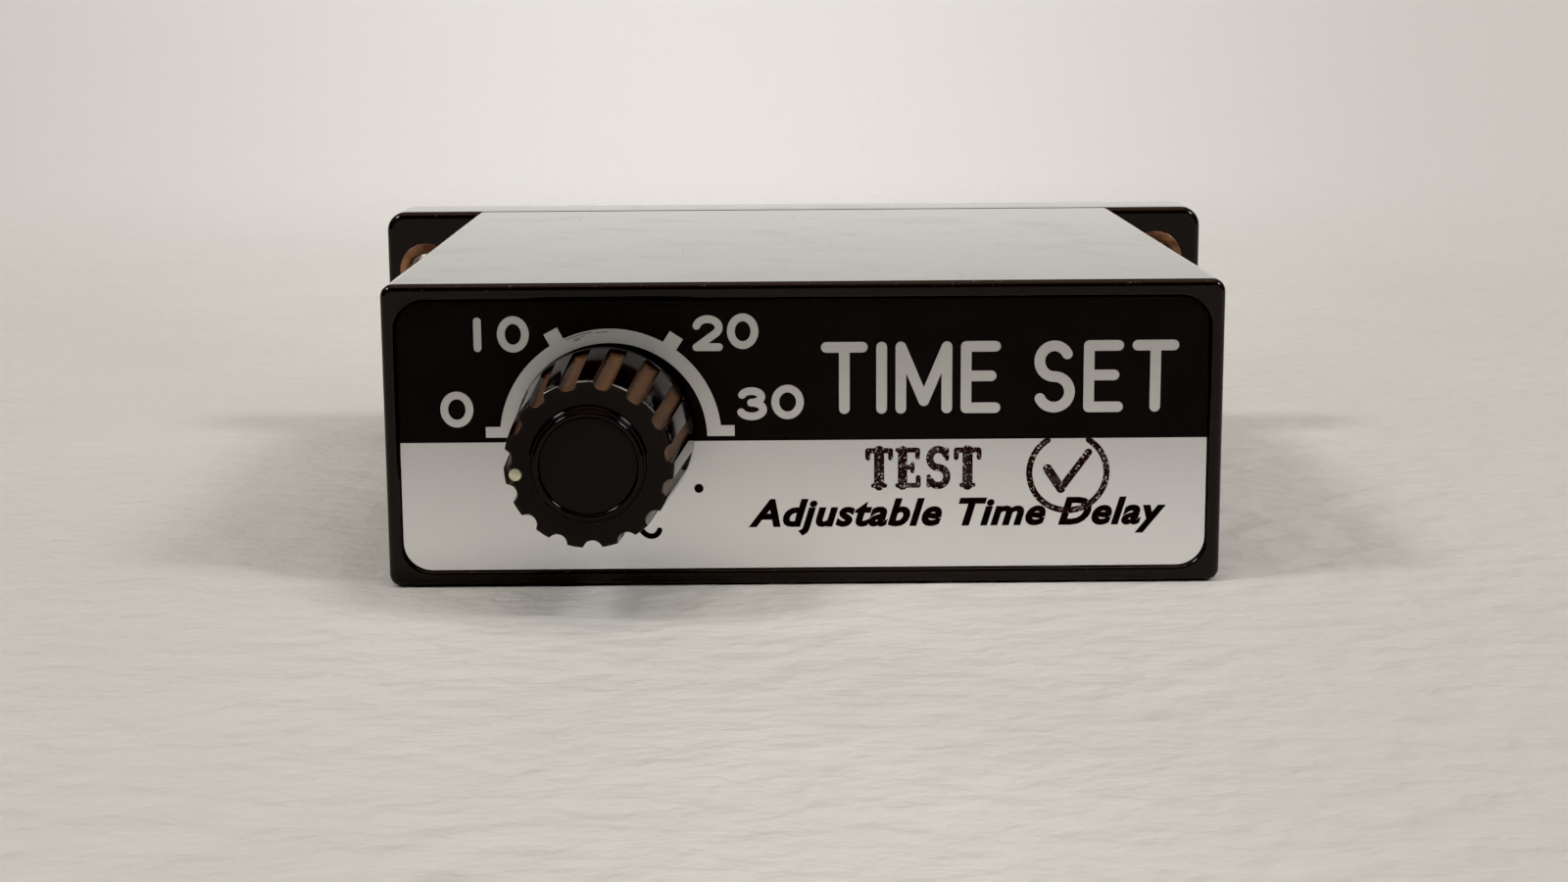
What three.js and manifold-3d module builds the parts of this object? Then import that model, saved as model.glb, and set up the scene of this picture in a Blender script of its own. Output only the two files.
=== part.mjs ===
// A small plug-in timer module: a black moulded case with a printed nameplate and a fluted
// time-setting knob, closed at the back by a base flange with brass mounting eyelets.
//
// Millimetres, +Z up, +Y from the front of the case to its back, +X to the right seen from the
// front. The pieces are placed from the plane of the case's front face (y = 0) and the surface
// it stands on (z = 0), and the whole is then shifted along Y, so that the origin of the
// finished part is the middle of the bottom of its bounding box.
import * as THREE from "three";
import { mergeVertices } from "three/addons/utils/BufferGeometryUtils.js";
import Module from "manifold-3d";

// ---- driving dimensions ----

const CASE = { width: 86, height: 31.5, depth: 84, wall: 2.5, front: 3.2, corner: 1.3, edge: 0.8 };
const PLATE = { halfWidth: 41.45, low: 1.7, high: 29.75, corner: 3, sink: 0.35, thick: 0.5, gap: 0.1 };
const FLANGE = { width: 110, thick: 10, corner: 2.5, edge: 1, gap: 0.3, spigot: 4, spigotWall: 2 };
const EYELET = { x: 49, rise: 9, bore: 2.1, barrel: 2.6, head: 3.7, lip: 0.35, slip: [-0.8, -1] };
const BASE_SCREW = { x: 36.5, rise: 9.75, shank: 1.5, head: 3, headThick: 2.2, length: 24, sink: 0.4 };
const BOSS = { radius: 3.6, length: 18 };

const KNOB = {
  x: -20.3, z: 16.05, gap: 0.65, length: 15.6, baseRadius: 9.1, frontRadius: 8.2, chamfer: 0.3,
  ring: 0.8, flutes: 15, fluteRadius: 0.98, fluteDepth: 0.8, pointerAngle: 172.5,
  bossRadius: 5.35, bossHeight: 0.7, cavityRadius: 7.3, cavityDepth: 4.2,
};
const DOT = { radius: 0.65, orbit: 7.15, depth: 0.45 };
const HUB = { radius: 4.6, bore: 3.15, length: 9 };
const SET_SCREW = { radius: 1.5, behindFront: 8.2 };

const POT = { radius: 12, depth: 10.2, shaft: 3, thread: 3.5, sheet: 0.6, plate: 1, wafer: 1.5, clear: 0.3 };
const TURN = { travel: 195, finger: 14, spare: 1 };
const NUT = { flats: 10, thick: 2 };
const WASHER = { radius: 6.2, thick: 0.5 };
const LUG = { width: 2, thick: 0.4, spacing: 5, reach: 17 };

const BOARD = { halfWidth: 31.5, start: 17, end: 79.5, bottom: 4.6, thick: 1.6 };
const WIRE = { radius: 0.6, sides: 8 };
const RELAY = { x: 15, hinge: 62, hingeZ: 23.6, front: 42, halfWidth: 9 };
const CARRIER = { halfWidth: 21, low: 9, high: 22.5, start: 82, cover: 1.4, lip: 5.5, brim: 1.5 };
const PIN = { count: 8, pitch: 5, thick: 0.8, width: 4, z: 13, length: 8, tail: 77 };

// ---- derived places ----

const MID_Z = CASE.height / 2;
const FLANGE_FRONT = CASE.depth + FLANGE.gap;
const FLANGE_REAR = FLANGE_FRONT + FLANGE.thick;
const PLATE_FRONT = PLATE.sink;
const PLATE_REAR = PLATE.sink + PLATE.thick;
const KNOB_BACK = -KNOB.gap;
const KNOB_FACE = KNOB_BACK - KNOB.length;
const KNOB_TIP = KNOB_FACE - KNOB.bossHeight;
const PIN_END = FLANGE_REAR + PIN.length;
const CARRIER_REAR = FLANGE_REAR - 0.1;
const COVER_SEAT = CARRIER_REAR - CARRIER.cover;
const EYELET_SEAT = FLANGE_REAR - EYELET.lip - 0.1;
const BOARD_TOP = BOARD.bottom + BOARD.thick;
const POT_FRONT = CASE.front + 0.1;
const TOUCH = 0.3;

const DEGREE = Math.PI / 180;

// ---- booleans ----

const wasm = await Module();
wasm.setup();

function solid(geometry) {
  const bare = geometry.index ? geometry.toNonIndexed() : geometry.clone();
  bare.deleteAttribute("normal");
  bare.deleteAttribute("uv");
  const merged = mergeVertices(bare, 1e-4);
  return new wasm.Manifold(
    new wasm.Mesh({
      numProp: 3,
      vertProperties: merged.attributes.position.array,
      triVerts: new Uint32Array(merged.index.array),
    }),
  );
}

function geometryOf(manifold) {
  const mesh = manifold.getMesh();
  const geometry = new THREE.BufferGeometry();
  geometry.setAttribute("position", new THREE.BufferAttribute(mesh.vertProperties, 3));
  geometry.setIndex(new THREE.BufferAttribute(mesh.triVerts, 1));
  const flat = geometry.toNonIndexed();
  flat.computeVertexNormals();
  return flat;
}

const join = (first, ...more) => geometryOf(more.reduce((sum, g) => sum.add(solid(g)), solid(first)));
const cut = (first, ...tools) => geometryOf(tools.reduce((left, g) => left.subtract(solid(g)), solid(first)));

// ---- shapes ----

const block = (low, high) =>
  new THREE.BoxGeometry(...high.map((v, i) => v - low[i])).translate(...high.map((v, i) => (v + low[i]) / 2));

// A block that is as far to the left of x = 0 as to the right.
const centredBlock = (halfWidth, y0, y1, z0, z1) => block([-halfWidth, y0, z0], [halfWidth, y1, z1]);

const rodY = (radius, y0, y1, x, z, sides = 16) =>
  new THREE.CylinderGeometry(radius, radius, y1 - y0, sides).translate(x, (y0 + y1) / 2, z);

const rodZ = (radius, z0, z1, x, y, sides = 16) =>
  new THREE.CylinderGeometry(radius, radius, z1 - z0, sides)
    .rotateX(Math.PI / 2)
    .translate(x, y, (z0 + z1) / 2);

const rodX = (radius, x0, x1, y, z, sides = 12) =>
  new THREE.CylinderGeometry(radius, radius, x1 - x0, sides)
    .rotateZ(Math.PI / 2)
    .translate((x0 + x1) / 2, y, z);

// An outline in X and Z, pushed from y0 to y1.
const slabY = (shape, y0, y1, curveSegments = 6) =>
  new THREE.ExtrudeGeometry(shape, { depth: y1 - y0, bevelEnabled: false, curveSegments })
    .rotateX(Math.PI / 2)
    .translate(0, y1, 0);

// The same with all its front and back edges rounded.
const roundedSlabY = (shape, y0, y1, edge) =>
  new THREE.ExtrudeGeometry(shape, {
    depth: y1 - y0 - 2 * edge,
    bevelThickness: edge,
    bevelSize: edge,
    bevelOffset: -edge,
    bevelSegments: 2,
    curveSegments: 3,
  })
    .rotateX(Math.PI / 2)
    .translate(0, y1 - edge, 0);

function roundedOutline(x0, x1, z0, z1, radius) {
  const shape = new THREE.Shape();
  shape.moveTo(x0 + radius, z0);
  shape.absarc(x1 - radius, z0 + radius, radius, -Math.PI / 2, 0);
  shape.absarc(x1 - radius, z1 - radius, radius, 0, Math.PI / 2);
  shape.absarc(x0 + radius, z1 - radius, radius, Math.PI / 2, Math.PI);
  shape.absarc(x0 + radius, z0 + radius, radius, Math.PI, 1.5 * Math.PI);
  return shape;
}

// A turned piece on the line x, z along Y, from [radius, y] pairs that start and end on the axis
// or close on themselves.
const turned = (profile, x, z, sides) =>
  new THREE.LatheGeometry(profile.map(([r, y]) => new THREE.Vector2(r, y)), sides).translate(x, 0, z);

// A plain ring or sleeve on the line x, z.
const ringY = (inner, outer, y0, y1, x = KNOB.x, z = KNOB.z, sides = 24) =>
  turned([[inner, y0], [outer, y0], [outer, y1], [inner, y1], [inner, y0]], x, z, sides);

// A direction round the knob's axis: 0 is to the right, and it grows clockwise seen from the front.
const around = (angle, radius) => [radius * Math.cos(angle * DEGREE), -radius * Math.sin(angle * DEGREE)];

// Part of a ring round the knob's axis, from angle a0 to angle a1.
function ringSector(inner, outer, a0, a1, y0, y1) {
  const shape = new THREE.Shape();
  shape.absarc(0, 0, outer, -a0 * DEGREE, -a1 * DEGREE, true);
  shape.absarc(0, 0, inner, -a1 * DEGREE, -a0 * DEGREE, false);
  shape.closePath();
  return slabY(shape, y0, y1, Math.ceil(Math.abs(a1 - a0) / 30) + 1).translate(KNOB.x, 0, KNOB.z);
}

const CORNERS = [[-1, -1], [1, -1], [-1, 1], [1, 1]];

// Where an ear's eyelet is. The upper left one slips a little out of line.
function eyeletPlace([sx, sz]) {
  const [dx, dz] = sx < 0 && sz > 0 ? EYELET.slip : [0, 0];
  return [sx * EYELET.x + dx, MID_Z + sz * EYELET.rise + dz];
}

// ---- materials ----

const finish = (color, roughness, metalness = 0) =>
  new THREE.MeshStandardMaterial({ color, roughness, metalness });
const MATERIAL = {
  phenolic: finish(0x0b0908, 0.12),
  plate: finish(0xb9b8b4, 0.35, 0.6),
  brass: finish(0xb08d57, 0.35, 1),
  copper: finish(0xb5734a, 0.4, 1),
  steel: finish(0x9a9c9e, 0.4, 1),
  iron: finish(0x6f7174, 0.5, 1),
  cream: finish(0xd9cfae, 0.5),
  board: finish(0x7a4f2a, 0.5),
  brown: finish(0x4a2c1a, 0.45),
  sleeve: finish(0x1f3f7a, 0.4),
  winding: finish(0x8a4a20, 0.45),
  red: finish(0xa8201c, 0.5),
  yellow: finish(0xc9a227, 0.5),
  grey: finish(0x8b8f91, 0.5),
  silver: finish(0xc8c8c4, 0.3, 1),
};

const timer = new THREE.Group();

function piece(name, material, geometry, parent = timer) {
  const mesh = new THREE.Mesh(geometry, MATERIAL[material]);
  mesh.name = name;
  parent.add(mesh);
  return mesh;
}

// ---- case, nameplate and base ----

function caseShell() {
  const { width, height, depth, wall, front, corner, edge } = CASE;
  const half = width / 2;
  const long = roundedSlabY(roundedOutline(-half, half, 0, height, corner), 0, depth + 4, edge);
  const outer = cut(long, block([-half - 1, depth, -1], [half + 1, depth + 5, height + 1]));
  const room = centredBlock(half - wall, front, depth + 1, wall, height - wall);
  const recess = slabY(
    roundedOutline(
      -PLATE.halfWidth - PLATE.gap,
      PLATE.halfWidth + PLATE.gap,
      PLATE.low - PLATE.gap,
      PLATE.high + PLATE.gap,
      PLATE.corner + PLATE.gap,
    ),
    -1,
    PLATE_REAR + PLATE.gap,
  );
  const places = CORNERS.map(([sx, sz]) => [sx * BASE_SCREW.x, MID_Z + sz * BASE_SCREW.rise]);
  const bosses = places.map(([x, z]) => rodY(BOSS.radius, depth - BOSS.length, depth, x, z, 12));
  const pilotEnd = depth - BOSS.length + 3;
  const pilots = places.map(([x, z]) => rodY(BASE_SCREW.shank + TOUCH, pilotEnd, depth + 1, x, z, 8));
  const bushHole = rodY(POT.thread + TOUCH, -1, front + 1, KNOB.x, KNOB.z);
  return cut(join(cut(outer, room), ...bosses), recess, bushHole, ...pilots);
}

function nameplate() {
  const outline = roundedOutline(-PLATE.halfWidth, PLATE.halfWidth, PLATE.low, PLATE.high, PLATE.corner);
  return cut(slabY(outline, PLATE_FRONT, PLATE_REAR), rodY(POT.thread + TOUCH, -1, 2, KNOB.x, KNOB.z));
}

// The back of the case: a flange with an ear on each side, a rim that locates it inside the
// case, two arms that carry the circuit board, and a window for the contact block.
function baseFlange() {
  const half = FLANGE.width / 2;
  const plate = roundedSlabY(
    roundedOutline(-half, half, 0, CASE.height, FLANGE.corner),
    FLANGE_FRONT,
    FLANGE_REAR,
    FLANGE.edge,
  );
  const inset = CASE.wall + TOUCH;
  const rimX = BASE_SCREW.x - BOSS.radius - TOUCH;
  const rimStart = FLANGE_FRONT - FLANGE.spigot;
  const rim = cut(
    centredBlock(rimX, rimStart, FLANGE_FRONT + 1, inset, CASE.height - inset),
    centredBlock(
      rimX - FLANGE.spigotWall,
      rimStart - 1,
      FLANGE_FRONT,
      inset + FLANGE.spigotWall,
      CASE.height - inset - FLANGE.spigotWall,
    ),
  );
  const arms = [-1, 1].map((side) => {
    const x = side * (BOARD.halfWidth - 6);
    return block([x - 3, BOARD.end - 10, inset], [x + 3, rimStart + 1, BOARD.bottom - TOUCH]);
  });
  const armHoles = [-1, 1].map((side) =>
    rodZ(1.3, 0.8 + inset, 8, side * (BOARD.halfWidth - 6), BOARD.end - 6, 12),
  );
  const window = centredBlock(
    CARRIER.halfWidth + TOUCH,
    rimStart - 1,
    FLANGE_REAR + 1,
    CARRIER.low - TOUCH,
    CARRIER.high + TOUCH,
  );
  const pocket = centredBlock(
    CARRIER.halfWidth + CARRIER.lip + TOUCH,
    COVER_SEAT - 0.1,
    FLANGE_REAR + 1,
    CARRIER.low - CARRIER.brim - TOUCH,
    CARRIER.high + CARRIER.brim + TOUCH,
  );
  const screwHoles = CORNERS.flatMap(([sx, sz]) => {
    const [x, z] = [sx * BASE_SCREW.x, MID_Z + sz * BASE_SCREW.rise];
    const seat = FLANGE_REAR - BASE_SCREW.sink - BASE_SCREW.headThick - TOUCH;
    return [
      rodY(BASE_SCREW.shank + TOUCH, FLANGE_FRONT - 1, FLANGE_REAR + 1, x, z, 8),
      rodY(BASE_SCREW.head + TOUCH, seat, FLANGE_REAR + 1, x, z),
    ];
  });
  const eyeletHoles = CORNERS.flatMap((corner) => {
    const [x, z] = eyeletPlace(corner);
    return [
      rodY(EYELET.barrel + TOUCH, FLANGE_FRONT - 1, FLANGE_REAR + 1, x, z),
      rodY(EYELET.head + TOUCH, EYELET_SEAT, FLANGE_REAR + 1, x, z, 20),
    ];
  });
  const carrierHoles = [-1, 1].map((side) =>
    rodY(1.3, FLANGE_REAR - 6.5, FLANGE_REAR + 1, side * (CARRIER.halfWidth + CARRIER.lip / 2), MID_Z, 12),
  );
  const body = join(plate, rim, ...arms);
  return cut(body, window, pocket, ...armHoles, ...screwHoles, ...eyeletHoles, ...carrierHoles);
}

// A slotted cheese-head screw on the line x, z along Y, with its head at the back.
function screwY(x, z, shank, head, headThick, tip, top) {
  const body = join(rodY(shank, tip, top - headThick + 0.2, x, z, 8), rodY(head, top - headThick, top, x, z));
  return cut(body, block([x - 0.4, top - 0.9, z - head - 1], [x + 0.4, top + 1, z + head + 1]));
}

// A rolled eyelet through an ear, with a lip on the front face and one sunk flush in the back.
function eyelet(x, z) {
  const { bore, barrel, head, lip } = EYELET;
  const [front, rear] = [FLANGE_FRONT - 0.05, EYELET_SEAT + 0.05];
  const profile = [
    [bore, front - lip * 0.6],
    [bore + 0.5, front - lip],
    [head - 0.3, front - lip],
    [head, front],
    [barrel, front],
    [barrel, rear],
    [head, rear],
    [head - 0.3, rear + lip],
    [bore + 0.5, rear + lip],
    [bore, rear + lip * 0.6],
    [bore, front - lip * 0.6],
  ];
  return turned(profile, x, z, 20);
}

piece("case_shell", "phenolic", caseShell());
piece("nameplate", "plate", nameplate());
piece("base_flange", "phenolic", baseFlange());
CORNERS.forEach(([sx, sz], i) => {
  const top = FLANGE_REAR - BASE_SCREW.sink;
  const [x, z] = [sx * BASE_SCREW.x, MID_Z + sz * BASE_SCREW.rise];
  const { shank, head, headThick, length } = BASE_SCREW;
  piece(`base_screw_${i + 1}`, "steel", screwY(x, z, shank, head, headThick, top - length, top));
  piece(`mount_eyelet_${i + 1}`, "copper", eyelet(...eyeletPlace([sx, sz])));
});

// ---- knob ----

// The knob's outer radius at a height y, from the back ring to the front face.
const knobRadius = (y) =>
  KNOB.baseRadius + ((KNOB.frontRadius - KNOB.baseRadius) * (KNOB_BACK - y)) / KNOB.length;

// One flute is a round channel that follows the knob's taper and runs out at the front.
function fluteTool(angle) {
  const start = KNOB_BACK - KNOB.ring;
  const end = KNOB_FACE - 1;
  const out = KNOB.fluteRadius - KNOB.fluteDepth;
  const [x0, z0] = around(angle, knobRadius(start) + out);
  const [x1, z1] = around(angle, knobRadius(end) + out);
  const path = new THREE.LineCurve3(new THREE.Vector3(x0, start, z0), new THREE.Vector3(x1, end, z1));
  const section = new THREE.Shape();
  section.absarc(0, 0, KNOB.fluteRadius, 0, 2 * Math.PI);
  return new THREE.ExtrudeGeometry(section, { extrudePath: path, steps: 1, curveSegments: 5 });
}

function knobBody() {
  const { baseRadius, frontRadius, chamfer, bossRadius, cavityRadius, cavityDepth } = KNOB;
  const floor = KNOB_BACK - cavityDepth;
  const hubTop = floor - HUB.length - 0.2;
  const profile = [
    [0, KNOB_TIP + 0.2],
    [bossRadius - 0.7, KNOB_TIP + 0.2],
    [bossRadius - 0.5, KNOB_TIP],
    [bossRadius - 0.15, KNOB_TIP],
    [bossRadius, KNOB_TIP + 0.2],
    [bossRadius + 0.15, KNOB_FACE - 0.25],
    [bossRadius + 0.5, KNOB_FACE],
    [frontRadius - chamfer, KNOB_FACE],
    [frontRadius, KNOB_FACE + chamfer],
    [baseRadius, KNOB_BACK - 0.3],
    [baseRadius - 0.3, KNOB_BACK],
    [cavityRadius, KNOB_BACK],
    [cavityRadius, floor],
    [HUB.radius + TOUCH, floor],
    [HUB.radius + TOUCH, hubTop],
    [0, hubTop],
  ];
  const body = turned(profile, 0, 0, 45);
  const flutes = Array.from({ length: KNOB.flutes }, (_, i) =>
    fluteTool(KNOB.pointerAngle + (i + 0.5) * (360 / KNOB.flutes)),
  );
  const [dx, dz] = around(KNOB.pointerAngle, DOT.orbit);
  const dotHole = rodY(DOT.radius + 0.1, KNOB_FACE - 1, KNOB_FACE + DOT.depth + 0.1, dx, dz, 16);
  return cut(body, ...flutes, dotHole, setScrewRod(SET_SCREW.radius + 0.15, HUB.radius, KNOB.baseRadius + 1));
}

// Lays a geometry made along Y along the set screw's line instead: square to the knob's axis, a
// quarter turn from the pointer.
function alongSetScrew(geometry) {
  const [dx, dz] = around(KNOB.pointerAngle - 90, 1);
  const line = new THREE.Vector3(dx, 0, dz);
  const turn = new THREE.Quaternion().setFromUnitVectors(new THREE.Vector3(0, 1, 0), line);
  return geometry.applyQuaternion(turn).translate(0, KNOB_FACE + SET_SCREW.behindFront, 0);
}

const setScrewRod = (radius, from, to) =>
  alongSetScrew(rodY(radius, from, to, 0, 0, 14));

function knobHub() {
  const back = KNOB_BACK - KNOB.cavityDepth;
  const front = back - HUB.length;
  const sleeve = ringY(HUB.bore, HUB.radius, front, back, 0, 0);
  return cut(sleeve, setScrewRod(SET_SCREW.radius + 0.15, 2, HUB.radius + 1));
}

function setScrew() {
  const from = POT.shaft + 0.15;
  const to = KNOB.frontRadius - 1.4;
  const slot = alongSetScrew(new THREE.BoxGeometry(0.5, 0.8, 5).translate(0, to, 0));
  return cut(setScrewRod(SET_SCREW.radius, from, to), slot);
}

function pointerDot() {
  const [dx, dz] = around(KNOB.pointerAngle, DOT.orbit);
  return rodY(DOT.radius, KNOB_FACE + 0.1, KNOB_FACE + DOT.depth, dx, dz, 16);
}

const knob = new THREE.Group();
knob.position.set(KNOB.x, 0, KNOB.z);
timer.add(knob);
piece("knob", "phenolic", knobBody(), knob);
piece("knob_pointer_dot", "cream", pointerDot(), knob);
piece("knob_hub", "brass", knobHub(), knob);
piece("knob_set_screw", "steel", setScrew(), knob);

// ---- potentiometer behind the front wall ----

const WAFER_FRONT = POT_FRONT + POT.plate + 0.2;
const WAFER_BACK = WAFER_FRONT + POT.wafer;
const CAN_BACK = POT_FRONT + POT.plate + POT.depth;
const ROTOR = { front: WAFER_BACK + 1.2, back: WAFER_BACK + 2.6, radius: 7.4, fingerReach: 9.6 };
const inCan = POT.radius - POT.sheet;

// The threaded bush and the mounting plate that it is staked to.
function potBushing() {
  const noseY = PLATE_FRONT - WASHER.thick - NUT.thick - 0.7;
  const back = POT_FRONT + POT.plate;
  const profile = [
    [POT.shaft + POT.clear / 2, noseY],
    [POT.thread - 0.2, noseY],
    [POT.thread, noseY + 0.3],
    [POT.thread, POT_FRONT],
    [POT.radius - 0.2, POT_FRONT],
    [POT.radius - 0.2, back],
    [POT.shaft + POT.clear / 2, back],
    [POT.shaft + POT.clear / 2, noseY],
  ];
  return turned(profile, KNOB.x, KNOB.z, 24);
}

function potNut() {
  const front = PLATE_FRONT - 0.1 - WASHER.thick - 0.1 - NUT.thick;
  const corner = NUT.flats / 2 / Math.cos(Math.PI / 6);
  const hexagon = rodY(corner, front, front + NUT.thick, KNOB.x, KNOB.z, 6);
  return cut(hexagon, rodY(POT.thread + TOUCH, front - 1, front + NUT.thick + 1, KNOB.x, KNOB.z));
}

// The can is a pressed cup with a slot for the lugs and a bent-in sector that stops the rotor.
function potCan() {
  const cup = cut(
    rodY(POT.radius, WAFER_FRONT, CAN_BACK, KNOB.x, KNOB.z, 30),
    rodY(inCan, WAFER_FRONT - 1, CAN_BACK - POT.sheet, KNOB.x, KNOB.z, 30),
  );
  const slot = block(
    [KNOB.x + 8, WAFER_FRONT - 1, KNOB.z - LUG.spacing - LUG.width],
    [KNOB.x + POT.radius + 1, WAFER_BACK + 0.6, KNOB.z + LUG.spacing + LUG.width],
  );
  const blocked = 360 - TURN.travel - TURN.finger - 2 * TURN.spare;
  const middle = 90;
  const stop = ringSector(
    ROTOR.radius + 0.8, inCan + 0.2, middle - blocked / 2, middle + blocked / 2, ROTOR.front, CAN_BACK - 0.3,
  );
  return join(cut(cup, slot), stop);
}

// The wafer carries the resistance track on its back face, and has a hole for the shaft.
function potTrack() {
  return join(
    ringY(POT.shaft + 0.4, inCan - TOUCH, WAFER_FRONT, WAFER_BACK),
    ringSector(7.6, 9.8, 160, 380, WAFER_BACK - 0.1, WAFER_BACK + 0.12),
  );
}

function potRotor() {
  const disc = ringY(POT.shaft + 0.15, ROTOR.radius, ROTOR.front, ROTOR.back);
  const half = TURN.finger / 2;
  const [from, to] = [KNOB.pointerAngle - half, KNOB.pointerAngle + half];
  return join(disc, ringSector(ROTOR.radius - 0.5, ROTOR.fingerReach, from, to, ROTOR.front, ROTOR.back));
}

// A sprung strip under the rotor, with a raised contact over the track.
function potWiper() {
  const back = ROTOR.front - 0.15;
  const ring = ringY(POT.shaft + 0.15, 5, back - 0.4, back);
  const angle = KNOB.pointerAngle;
  const arm = ringSector(4.6, 9.4, angle - 8, angle + 8, back - 0.4, back);
  const [dx, dz] = around(angle, 8.6);
  const button = rodY(0.6, WAFER_BACK + 0.22, back - 0.2, KNOB.x + dx, KNOB.z + dz, 10);
  return join(ring, arm, button);
}

const lugHeight = (i) => KNOB.z + (i - 1) * LUG.spacing;
const LUG_Y = WAFER_BACK + 0.15;

function potLug(i) {
  const z = lugHeight(i);
  const half = LUG.width / 2;
  const root = KNOB.x + 10.2;
  const end = KNOB.x + LUG.reach;
  const strip = block([root, LUG_Y, z - half], [end, LUG_Y + LUG.thick, z + half]);
  return cut(strip, rodY(0.45, LUG_Y - 1, LUG_Y + 1, end - 1.1, z, 8));
}

// A wire from a lug down to its pad near the front edge of the board.
function potWire(i) {
  const z = lugHeight(i);
  const x = KNOB.x + LUG.reach - 1.1;
  const pad = x + 1 + 4 * (2 - i);
  const start = LUG_Y + LUG.thick + 0.1;
  const route = new THREE.CatmullRomCurve3([
    new THREE.Vector3(x, start, z),
    new THREE.Vector3(x + 0.2, start + 3, z),
    new THREE.Vector3((x + pad) / 2, start + 7 + i, z - 0.25 * (z - BOARD_TOP)),
    new THREE.Vector3(pad, BOARD.start + 2.2, BOARD_TOP + 3),
    new THREE.Vector3(pad, BOARD.start + 2.5, BOARD_TOP + 0.1),
  ]);
  const section = new THREE.Shape();
  section.absarc(0, 0, WIRE.radius, 0, 2 * Math.PI);
  return new THREE.ExtrudeGeometry(section, { extrudePath: route, steps: 12, curveSegments: WIRE.sides / 2 });
}

const shaftTip = KNOB_BACK - KNOB.cavityDepth - HUB.length + 0.6;
piece("pot_shaft", "steel", rodY(POT.shaft, shaftTip, CAN_BACK - POT.sheet - 0.5, KNOB.x, KNOB.z, 24));
piece("pot_bushing", "brass", potBushing());
const washerFront = PLATE_FRONT - 0.1 - WASHER.thick;
piece("pot_washer", "steel", ringY(POT.thread + TOUCH, WASHER.radius, washerFront, PLATE_FRONT - 0.1));
piece("pot_nut", "brass", potNut());
piece("pot_can", "steel", potCan());
piece("pot_track", "brown", potTrack());
piece("pot_rotor", "brown", potRotor());
piece("pot_wiper", "brass", potWiper());
["red", "yellow", "grey"].forEach((colour, i) => {
  piece(`pot_lug_${i + 1}`, "silver", potLug(i));
  piece(`pot_wire_${i + 1}`, colour, potWire(i));
});

// ---- circuit board and its parts ----

function circuitBoard() {
  const { halfWidth, start, end, bottom } = BOARD;
  const holes = [-1, 1].map((side) => rodZ(1.6, 0, 10, side * (halfWidth - 6), end - 6, 12));
  return cut(centredBlock(halfWidth, start, end, bottom, BOARD_TOP), ...holes);
}

function boardScrew(side) {
  const [x, y] = [side * (BOARD.halfWidth - 6), BOARD.end - 6];
  const head = BOARD_TOP + 0.1;
  const screw = join(rodZ(1, 3.8, head + 0.2, x, y, 10), rodZ(2.4, head, head + 1.6, x, y, 16));
  return cut(screw, block([x - 3, y - 0.3, head + 0.9], [x + 3, y + 0.3, head + 3]));
}

// A tubular part lying on the board along Y, with a lead at each end bent down to the board.
function axialY(x, y0, y1, radius, leadRadius, rimmed = false) {
  const z = BOARD_TOP + radius + TOUCH;
  const lead = 2.2;
  const body = rodY(radius, y0, y1, x, z);
  const wire = rodY(leadRadius, y0 - lead, y1 + lead, x, z, 6);
  const legs = [y0 - lead, y1 + lead].map((y) => rodZ(leadRadius, BOARD_TOP + 0.1, z + leadRadius, x, y, 6));
  const rim = rimmed ? [rodY(radius + 0.25, y1 - 2.4, y1 - 1.4, x, z)] : [];
  return join(body, wire, ...legs, ...rim);
}

function axialX(y, x0, x1, radius, leadRadius) {
  const z = BOARD_TOP + radius + TOUCH;
  const lead = 2;
  const body = rodX(radius, x0, x1, y, z);
  const wire = rodX(leadRadius, x0 - lead, x1 + lead, y, z, 6);
  const legs = [x0 - lead, x1 + lead].map((x) => rodZ(leadRadius, BOARD_TOP + 0.1, z + leadRadius, x, y, 6));
  return join(body, wire, ...legs);
}

// A metal-can transistor standing on three legs.
function transistor(x, y) {
  const low = BOARD_TOP + 2;
  const can = join(rodZ(4.1, low, low + 6, x, y), rodZ(4.7, low, low + 0.6, x, y));
  const legs = [0, 120, 240].map((a) => {
    const [dx, dy] = around(a, 2);
    return rodZ(0.3, BOARD_TOP + 0.1, low + 0.3, x + dx, y + dy, 6);
  });
  return join(can, ...legs);
}

piece("circuit_board", "board", circuitBoard());
[-1, 1].forEach((side, i) => piece(`board_screw_${i + 1}`, "steel", boardScrew(side)));
piece("timing_capacitor", "sleeve", axialY(-24, 24, 46, 5.4, 0.4, true));
piece("smoothing_capacitor", "sleeve", axialY(-24, 52, 68, 4.4, 0.4, true));
[26, 38].forEach((y, i) => piece(`transistor_${i + 1}`, "grey", transistor(-11, y)));
[47, 52, 57, 62].forEach((y, i) => piece(`resistor_${i + 1}`, "brown", axialX(y, -14, -7, 1.2, 0.35)));
piece("flyback_diode", "phenolic", axialX(67, -13, -8, 1.3, 0.4));

// ---- relay ----

// The relay's hinge runs along X at the top edge of the yoke. The armature reaches forward over
// the pole, and carries the moving contact between the two fixed ones.
function relayYoke() {
  const { x, hinge, hingeZ, halfWidth } = RELAY;
  const low = BOARD_TOP + 2.6;
  const half = halfWidth - 1;
  const foot = block([x - half, hinge - 17, low], [x + half, hinge + 1.6, low + 1.4]);
  const upright = block([x - half, hinge + 0.2, low], [x + half, hinge + 1.6, hingeZ - 0.2]);
  const core = rodZ(2.4, low + 0.5, hingeZ - 1.4, x, hinge - 9);
  const pole = rodZ(4, hingeZ - 2, hingeZ - 1, x, hinge - 9);
  return join(foot, upright, core, pole);
}

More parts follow.
